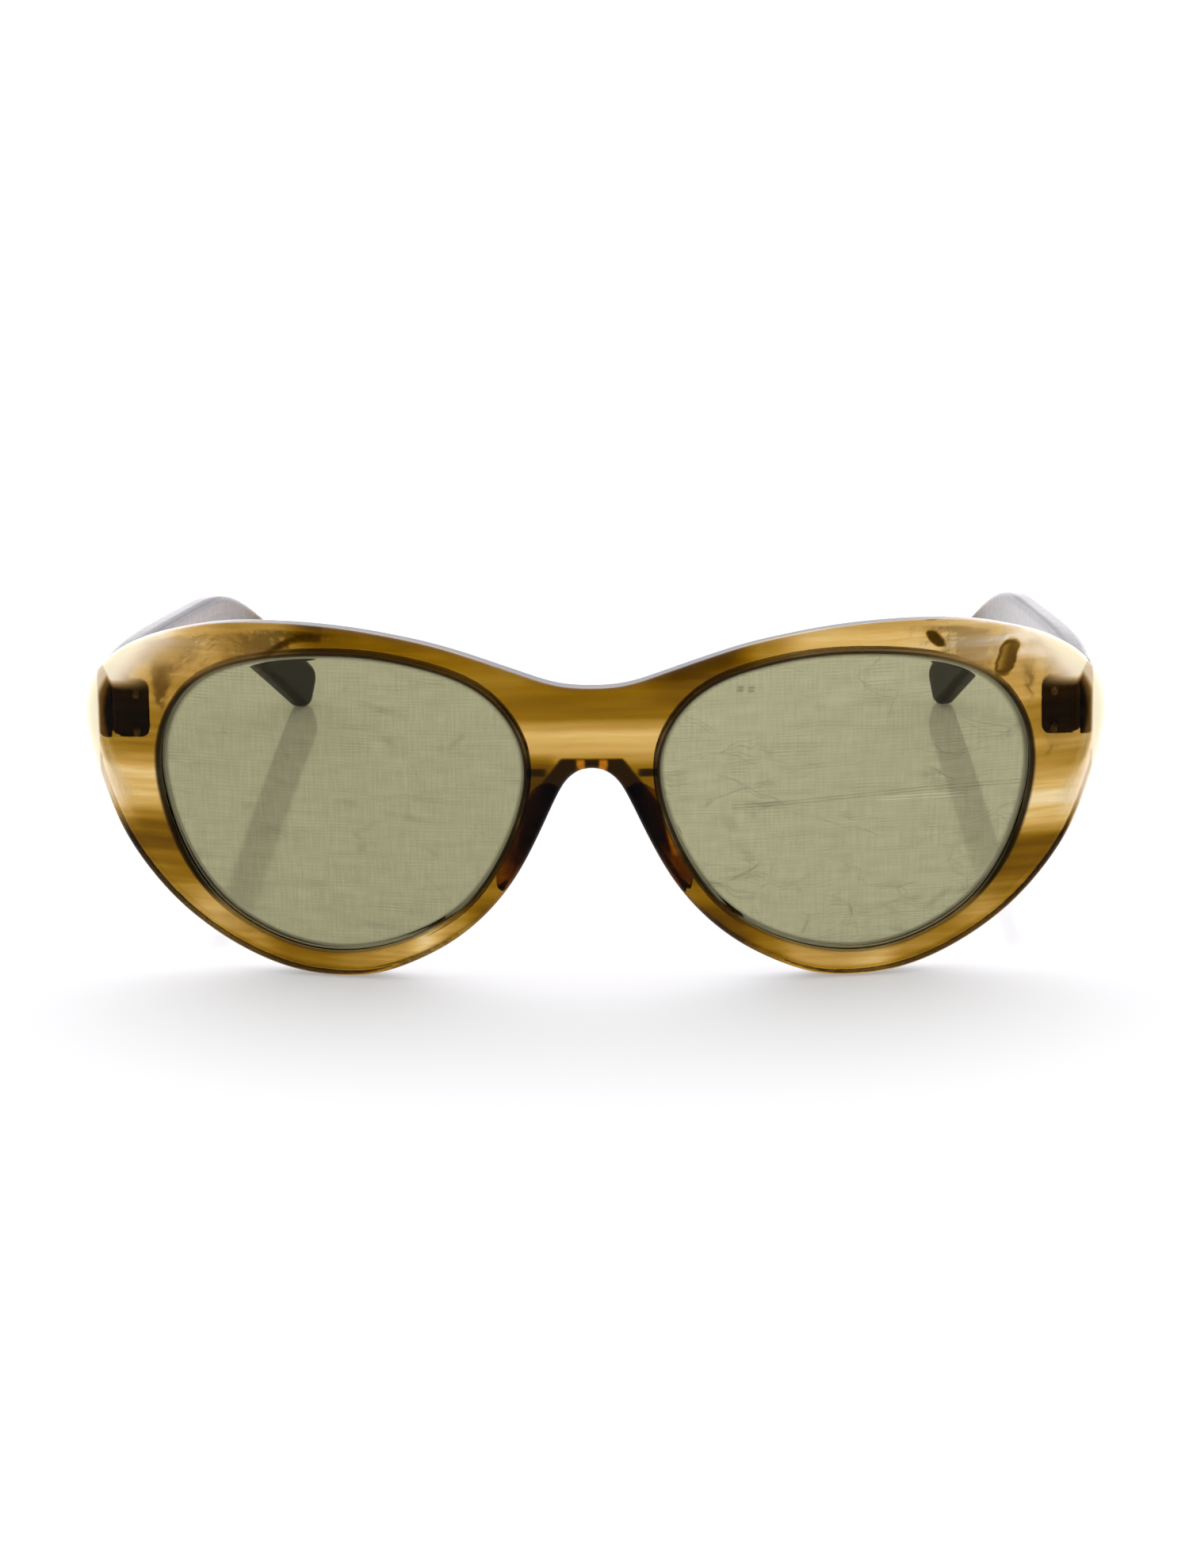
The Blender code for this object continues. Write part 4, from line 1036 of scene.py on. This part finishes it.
def pad_acetate():
    m = Material("nose_pad_acetate")
    streak = m.streaks((m.x, m.y, m.z), (0.3, 0.3, 0.9), 3.0, 0.6)
    colour = m.ramp(streak, [(0.3, linear(0.56, 0.40, 0.10)), (0.55, linear(0.72, 0.54, 0.16)),
                             (0.8, linear(0.86, 0.70, 0.30))], "LINEAR")
    glassy(m, colour, 0.12, m.top_coat(0.05, 0.32))
    m.absorb((52.0, 76.0, 200.0))
    m.bump(m.noise(m.place, 1.2), strength=0.15, distance=0.0003)
    return m.mat


# ----------------------------------------------------------- lenses and metal
def hairlines(m, bent=None, *, angle, stretch, scale, width, seed):
    """Thin scratches along cell edges, kept only in patches."""
    turned_place = m.new("ShaderNodeMapping")
    m.link(bent or m.place, turned_place.inputs["Vector"])
    for key, value in (("Rotation", (0, math.radians(angle), 0)),
                       ("Location", (seed, 0, seed * 1.7)), ("Scale", (stretch, 0.0, 1.0))):
        turned_place.inputs[key].default_value = value
    cell = m.new("ShaderNodeTexVoronoi", feature="DISTANCE_TO_EDGE")
    m.link(turned_place.outputs[0], cell.inputs["Vector"])
    cell.inputs["Scale"].default_value = scale
    gate = m.noise(m.vector(m.muladd(m.x, 0.11, seed), 3.0, m.mul(m.z, 0.16)), 1.0)
    return m.mul(m.ease(cell.outputs["Distance"], 0.0, width * scale, (1.0, 0.0)),
                 m.ease(gate, 0.47, 0.60))


def lens_scratches(m):
    """Hairline scratches: mostly sideways, denser low on the left lens."""
    x, z = m.x, m.z
    bend = m.new("ShaderNodeTexNoise")
    m.link(m.place, bend.inputs["Vector"])
    bend.inputs["Scale"].default_value = 0.10
    shift = m.new("ShaderNodeVectorMath", operation="MULTIPLY_ADD")
    m.link(bend.outputs["Color"], shift.inputs[0])
    shift.inputs[1].default_value = (7.0, 7.0, 7.0)
    m.link(m.place, shift.inputs[2])
    bent = shift.outputs[0]

    low_left = m.mul(m.ease(z, 27.0, 12.0), m.ease(x, 10.0, 24.0, (0.15, 1.0)))
    level = m.mul(m.add(
        hairlines(m, angle=1.5, stretch=0.05, scale=0.50, width=0.075, seed=3.0),
        hairlines(m, angle=-4.0, stretch=0.09, scale=0.36, width=0.07, seed=11.0)), 0.55)
    loose = m.add(
        hairlines(m, bent, angle=58.0, stretch=0.22, scale=0.16, width=0.085, seed=23.0),
        hairlines(m, bent, angle=-38.0, stretch=0.35, scale=0.13, width=0.085, seed=31.0))
    dense = m.add(
        hairlines(m, bent, angle=70.0, stretch=0.3, scale=0.42, width=0.10, seed=41.0),
        hairlines(m, bent, angle=-25.0, stretch=0.3, scale=0.46, width=0.10, seed=53.0))
    return m.add(level, m.add(m.mul(loose, m.ease(x, -5.0, 20.0, (0.25, 0.8))),
                              m.mul(dense, m.mul(low_left, 0.6))))


def dash(m, at, level, half, tall):
    """A small oval mark."""
    across = m.div(m.sub(m.x, at), half)
    rise = m.div(m.sub(m.z, level), tall)
    return m.ease(m.add(m.mul(across, across), m.mul(rise, rise)), 0.4, 1.6, (1.0, 0.0))


def lens_tint():
    m = Material("olive_lens")
    x, z = m.x, m.z
    lines = lens_scratches(m)
    # One long broken scrape across the left lens, and a short bright line near it.
    scrape_line = m.stripe(z, m.ease(x, 16.0, 52.0, (25.8, 27.3)), 0.05, 0.17)
    broken = m.streaks((x, 5.0, 1.0), (0.22, 1, 1))
    scrape = m.mul(scrape_line, m.ease(x, 18.5, 20.0), m.ease(broken, 0.30, 0.55, (0.25, 1.0)))
    bright = m.mul(m.stripe(z, 26.1, 0.02, 0.10),
                   m.mul(m.ease(x, 38.0, 42.0), m.ease(x, 53.0, 50.0)))
    # Specks: scattered ones, and two dashes high on the left lens.
    speck_cell = m.new("ShaderNodeTexVoronoi")
    m.link(m.vector(m.mul(x, 0.6), 0.0, z), speck_cell.inputs["Vector"])
    speck_cell.inputs["Scale"].default_value = 0.16
    specks = m.ease(speck_cell.outputs["Distance"], 0.0, 0.045, (1.0, 0.0))
    specks = m.larger(specks, m.larger(dash(m, at=20.6, level=42.6, half=0.50, tall=0.22),
                                       dash(m, at=22.1, level=42.5, half=0.46, tall=0.20)))
    dirt = m.add(m.mul(lines, 0.50), m.add(m.mul(scrape, 0.55), m.mul(specks, 0.8)), clamp=True)
    # Brushed haze, mostly sideways; the left lens is a little paler.
    brushed = m.streaks((x, 0.0, z), (0.16, 1, 4.2), 3.0, 0.6)
    weave = m.streaks((x, 0.0, z), (3.6, 1, 0.22), 2.0, 0.6)
    haze = m.ease(m.add(m.mul(brushed, 0.65), m.mul(weave, 0.35)), 0.36, 0.64)
    right = m.mix_colour(haze, (0.228, 0.222, 0.127, 1.0), (0.286, 0.278, 0.161, 1.0))
    left = m.mix_colour(haze, (0.252, 0.245, 0.144, 1.0), (0.316, 0.308, 0.182, 1.0))
    colour = m.mix_colour(m.ease(x, -5.0, 5.0), right, left)
    colour = m.mix_colour(dirt, colour, (0.09, 0.086, 0.048, 1.0))
    colour = m.mix_colour(m.mul(bright, 0.8), colour, (0.50, 0.49, 0.36, 1.0))
    # Painted shade: dark at the rim, standing in for the shadow of the groove round the lens.
    rim = m.mul(m.power(m.attribute("rim"), 1.8), 0.85)
    colour = m.mix_colour(rim, colour, (0.03, 0.025, 0.012, 1.0))
    m.set(Base_Color=colour, Roughness=m.muladd(lines, 0.03, 0.012), IOR=1.5,
          Transmission_Weight=1.0, Specular_Tint=(0.15, 0.15, 0.14, 1.0))
    return m.mat


def metal(name, light, dark, roughness, scale, stretch=(1, 1, 1)):
    """Grained metal between two colours."""
    m = Material(name)
    grain = m.streaks((m.x, m.y, m.z), stretch, 4.0, 0.6, scale)
    colour = m.mix_colour(m.ease(grain, 0.35, 0.7), (*light, 1.0), (*dark, 1.0))
    m.set(Base_Color=colour, Metallic=1.0,
          Roughness=m.ease(grain, 0.3, 0.7, (roughness, roughness + 0.18)))
    m.bump(grain, strength=0.2, distance=0.00006)
    return m.mat


ACETATE = front_acetate()
TEMPLE_MAT = temple_acetate()
PAD_MAT = pad_acetate()
LENS_MAT = lens_tint()
# The hinge steel is coloured near black: painted shade, standing in for the shade that keeps the
# hinge leaves dark.
HINGE_MAT = metal("hinge_steel", light=(0.115, 0.105, 0.09), dark=(0.05, 0.045, 0.04),
                  roughness=0.30, scale=2.2, stretch=(1, 1, 4))
SCREW_MAT = metal("screw_steel", light=(0.50, 0.47, 0.42), dark=(0.28, 0.26, 0.23),
                  roughness=0.24, scale=3.0)
RIVET_MAT = metal("rivet_brass", light=(0.26, 0.21, 0.12), dark=(0.11, 0.085, 0.05),
                  roughness=0.28, scale=3.0)
CORE_MAT = metal("core_nickel_silver", light=(0.52, 0.49, 0.43), dark=(0.34, 0.31, 0.26),
                 roughness=0.26, scale=1.5, stretch=(1, 0.1, 3))


# --------------------------------------------------------------------- pieces
def add_front():
    verts, faces, marks = whole_front()
    front = piece("front_acetate", verts, faces, ACETATE,
                  attrs={"edge_mm": marks[:, 0], "eye_mm": marks[:, 1], "depth_mm": marks[:, 2]})
    tell(front, "front", "front_frame")


def add_lens_and_pad(side, hand):
    verts, faces, rim = lens_shape()
    lens = piece(f"lens_{hand}_tinted", verts, faces, LENS_MAT, side, sharp=38,
                 attrs={"rim": rim})
    tell(lens, "front", f"lens_{hand}")
    pad = piece(f"nose_pad_{hand}_shaped", *pad_shape(), PAD_MAT, side)
    tell(pad, "front", f"nose_pad_{hand}")


def add_temple(side, hand):
    body = f"{hand}_temple"
    arm = piece(f"temple_{hand}_acetate", *temple_shape(), TEMPLE_MAT, side)
    # Room for the barrels at the front end, and a pocket for the leaf.
    inner_x = PIN_X - 4
    room = box(x=(inner_x, 67.8), y=(10, 17.4), z=(25, 50))
    pocket = box(x=(inner_x, POCKET_X), y=(12, 25.9), z=(HINGE_LOW - 0.25, HINGE_TOP + 0.25))
    carve(arm, side, [(room, "DIFFERENCE"), (pocket, "DIFFERENCE")], "MANIFOLD")
    shade(arm, 40)
    tell(arm, body, f"temple_{hand}")
    core = piece(f"core_wire_{hand}_drawn", *core_shape(), CORE_MAT, side, sharp=50)
    tell(core, body, f"core_wire_{hand}")


def barrel_z(level):
    return HINGE_LOW + level * (BARREL_H + BARREL_GAP)


def barrel(level, radius=BARREL_R, grow=0.0):
    return turned([(radius, 0), (radius, BARREL_H + 2 * grow)],
                  (PIN_X, PIN_Y, barrel_z(level) - grow), (0, 0, 1), 72)


def bore():
    return turned([(BORE_R, 0), (BORE_R, HINGE_H + 2)], (PIN_X, PIN_Y, HINGE_LOW - 1), (0, 0, 1))


def add_leaves(side, hand):
    """Hinge leaves: barrels 0, 2 and 4 on the front, 1 and 3 on the temple."""
    shape = plate(x=(62.3, PIN_X + 0.35), y=(LEAF_Y, LEAF_Y + PLATE),
                  z=(HINGE_LOW, HINGE_TOP), corner=1.3)
    leaf = piece(f"front_leaf_{hand}", *shape, HINGE_MAT, side)
    cuts = [(barrel(k), "UNION") for k in (0, 2, 4)]
    cuts += [(barrel(k, BARREL_R + 0.16, BARREL_GAP), "DIFFERENCE") for k in (1, 3)]
    carve(leaf, side, cuts + [(bore(), "DIFFERENCE")])
    finish_edges(leaf)
    tell(leaf, "front", f"front_hinge_leaf_{hand}")

    shape = box(x=(PIN_X, POCKET_X - 0.2), y=(17.35, 25.6), z=(HINGE_LOW + 0.1, HINGE_TOP - 0.1))
    leaf = piece(f"temple_leaf_{hand}", *shape, HINGE_MAT, side)
    cuts = []
    for k in (1, 3):
        z = barrel_z(k)
        tongue = box(x=(PIN_X + 0.02, POCKET_X - 0.22), y=(PIN_Y + 0.1, 18.2),
                     z=(z + 0.01, z + BARREL_H - 0.01))
        cuts += [(tongue, "UNION"), (barrel(k), "UNION")]
    carve(leaf, side, cuts + [(bore(), "DIFFERENCE")])
    finish_edges(leaf)
    tell(leaf, f"{hand}_temple", f"temple_hinge_leaf_{hand}")


def add_screw(side, hand):
    """Rounded slotted head, threaded tail."""
    profile = [(0.34, -0.55), (0.42, -0.50)]
    for k in range(4):
        profile += [(0.545, -0.44 + 0.10 * k), (0.46, -0.39 + 0.10 * k)]
    profile += [(0.55, 0.0)] + [(r, HINGE_H + h) for r, h in SCREW_HEAD]
    shape = turned(profile, (PIN_X, PIN_Y, HINGE_LOW), (0, 0, 1), 72)
    screw = piece(f"screw_{hand}", *shape, SCREW_MAT, side)
    slot = box(x=(PIN_X - 2, PIN_X + 2), y=(PIN_Y - 0.14, PIN_Y + 0.14),
               z=(HINGE_TOP + 0.40, HINGE_TOP + 2))
    carve(screw, side, [(slot, "DIFFERENCE")])
    shade(screw, 35)
    tell(screw, "front", f"hinge_screw_{hand}")


def add_rivets(kind, body, side, hand):
    """Domed rivets through a leaf."""
    x, y, axis, length, neck, head, heights = RIVETS[kind]
    profile = [(0.30, -length), (0.44, 0.05 - length), (0.5, 0.20 - length),
               (0.5, neck), (0.70, neck)]
    profile += [(0.72 * math.cos(a), head + 0.34 * math.sin(a))
                for a in np.linspace(0, math.radians(88), 7)]
    for key, z in heights.items():
        name = f"{kind}_rivet_{key}_{hand}"
        rivet = piece(f"{name}_set", *turned(profile, (x, y, z), axis, 48), RIVET_MAT, side,
                      sharp=40)
        tell(rivet, body, name)


add_front()
for side, hand in HANDS:
    add_lens_and_pad(side, hand)
    add_temple(side, hand)
    add_leaves(side, hand)
    add_screw(side, hand)
    add_rivets("front", "front", side, hand)
    add_rivets("temple", f"{hand}_temple", side, hand)


# ---------------------------------------------------------------------- stage
def add_table():
    """A white sheet: glossy behind the front, duller towards the viewer."""
    m = Material("white_table")
    gloss = m.ease(m.y, -66.0, -50.0)
    m.set(Base_Color=(0.62, 0.62, 0.62, 1.0),
          Emission_Color=(1.0, 1.0, 1.0, 1.0), Emission_Strength=0.33,
          Roughness=m.mix(gloss, 0.6, 0.09), IOR=1.48,
          Specular_IOR_Level=m.mix(gloss, 0.0, 0.38))
    half = 4000
    corners = [(-half, -half, 0), (half, -half, 0), (half, half, 0), (-half, half, 0)]
    table = piece("table", corners, [(0, 1, 2, 3)], m.mat, smooth=False)
    table.location.z = -0.00002


def add_world():
    """One wide soft light behind and above, pale towards the horizon; the camera's
    side of the room is dim, which is what draws the dark edges in the acetate."""
    world = bpy.data.worlds.new("studio")
    bpy.context.scene.world = world
    world.use_nodes = True
    w = Tree(world.node_tree)
    background = w.tree.nodes["Background"]
    direction = w.split(w.new("ShaderNodeTexCoord").outputs["Generated"])
    high = direction["Z"]
    behind = w.ease(direction["Y"], -0.30, 0.30)
    # Strength rises from the horizon and drops again overhead.
    glow = w.sub(w.ease(high, 0.0, 0.50, (1.05, 2.75)), w.ease(high, 0.65, 1.0, (0.0, 1.4)))
    dim = w.ease(high, 0.25, 1.0, (0.11, 0.8))
    level = w.add(w.mul(behind, glow), w.mul(w.sub(1.0, behind), dim))
    tint = w.mix_colour(behind, (1.0, 1.0, 1.0, 1.0), (0.975, 0.955, 1.0, 1.0))
    w.link(tint, background.inputs["Color"])
    w.link(level, background.inputs["Strength"])


def add_camera(azimuth, tilt, roll, distance, aim, lens, sensor):
    """Angles in degrees, except roll in radians; lengths in millimetres."""
    azimuth, tilt = math.radians(azimuth), math.radians(tilt)
    back = Vector((math.sin(azimuth) * math.cos(tilt), -math.cos(azimuth) * math.cos(tilt),
                   math.sin(tilt)))
    right = (-back).cross(Vector((0, 0, 1))).normalized()
    up = right.cross(-back)
    rolled_right = right * math.cos(roll) + up * math.sin(roll)
    rolled_up = up * math.cos(roll) - right * math.sin(roll)
    camera = bpy.data.objects.new("camera", bpy.data.cameras.new("camera"))
    bpy.context.scene.collection.objects.link(camera)
    place = Matrix((rolled_right, rolled_up, back)).transposed().to_4x4()
    place.translation = (Vector(aim) + back * distance) / 1000
    camera.matrix_world = place
    camera.data.sensor_width = sensor
    camera.data.lens = lens
    camera.data.clip_start, camera.data.clip_end = 0.01, 50
    bpy.context.scene.camera = camera


add_table()
add_world()
add_camera(azimuth=2.161, tilt=18.0, roll=-0.015206, distance=650.0,
           aim=(0.185, 5.0 - DEPTH_MID, 28.433), lens=106.826087, sensor=36.0)
bpy.context.scene.view_settings.view_transform = "Standard"
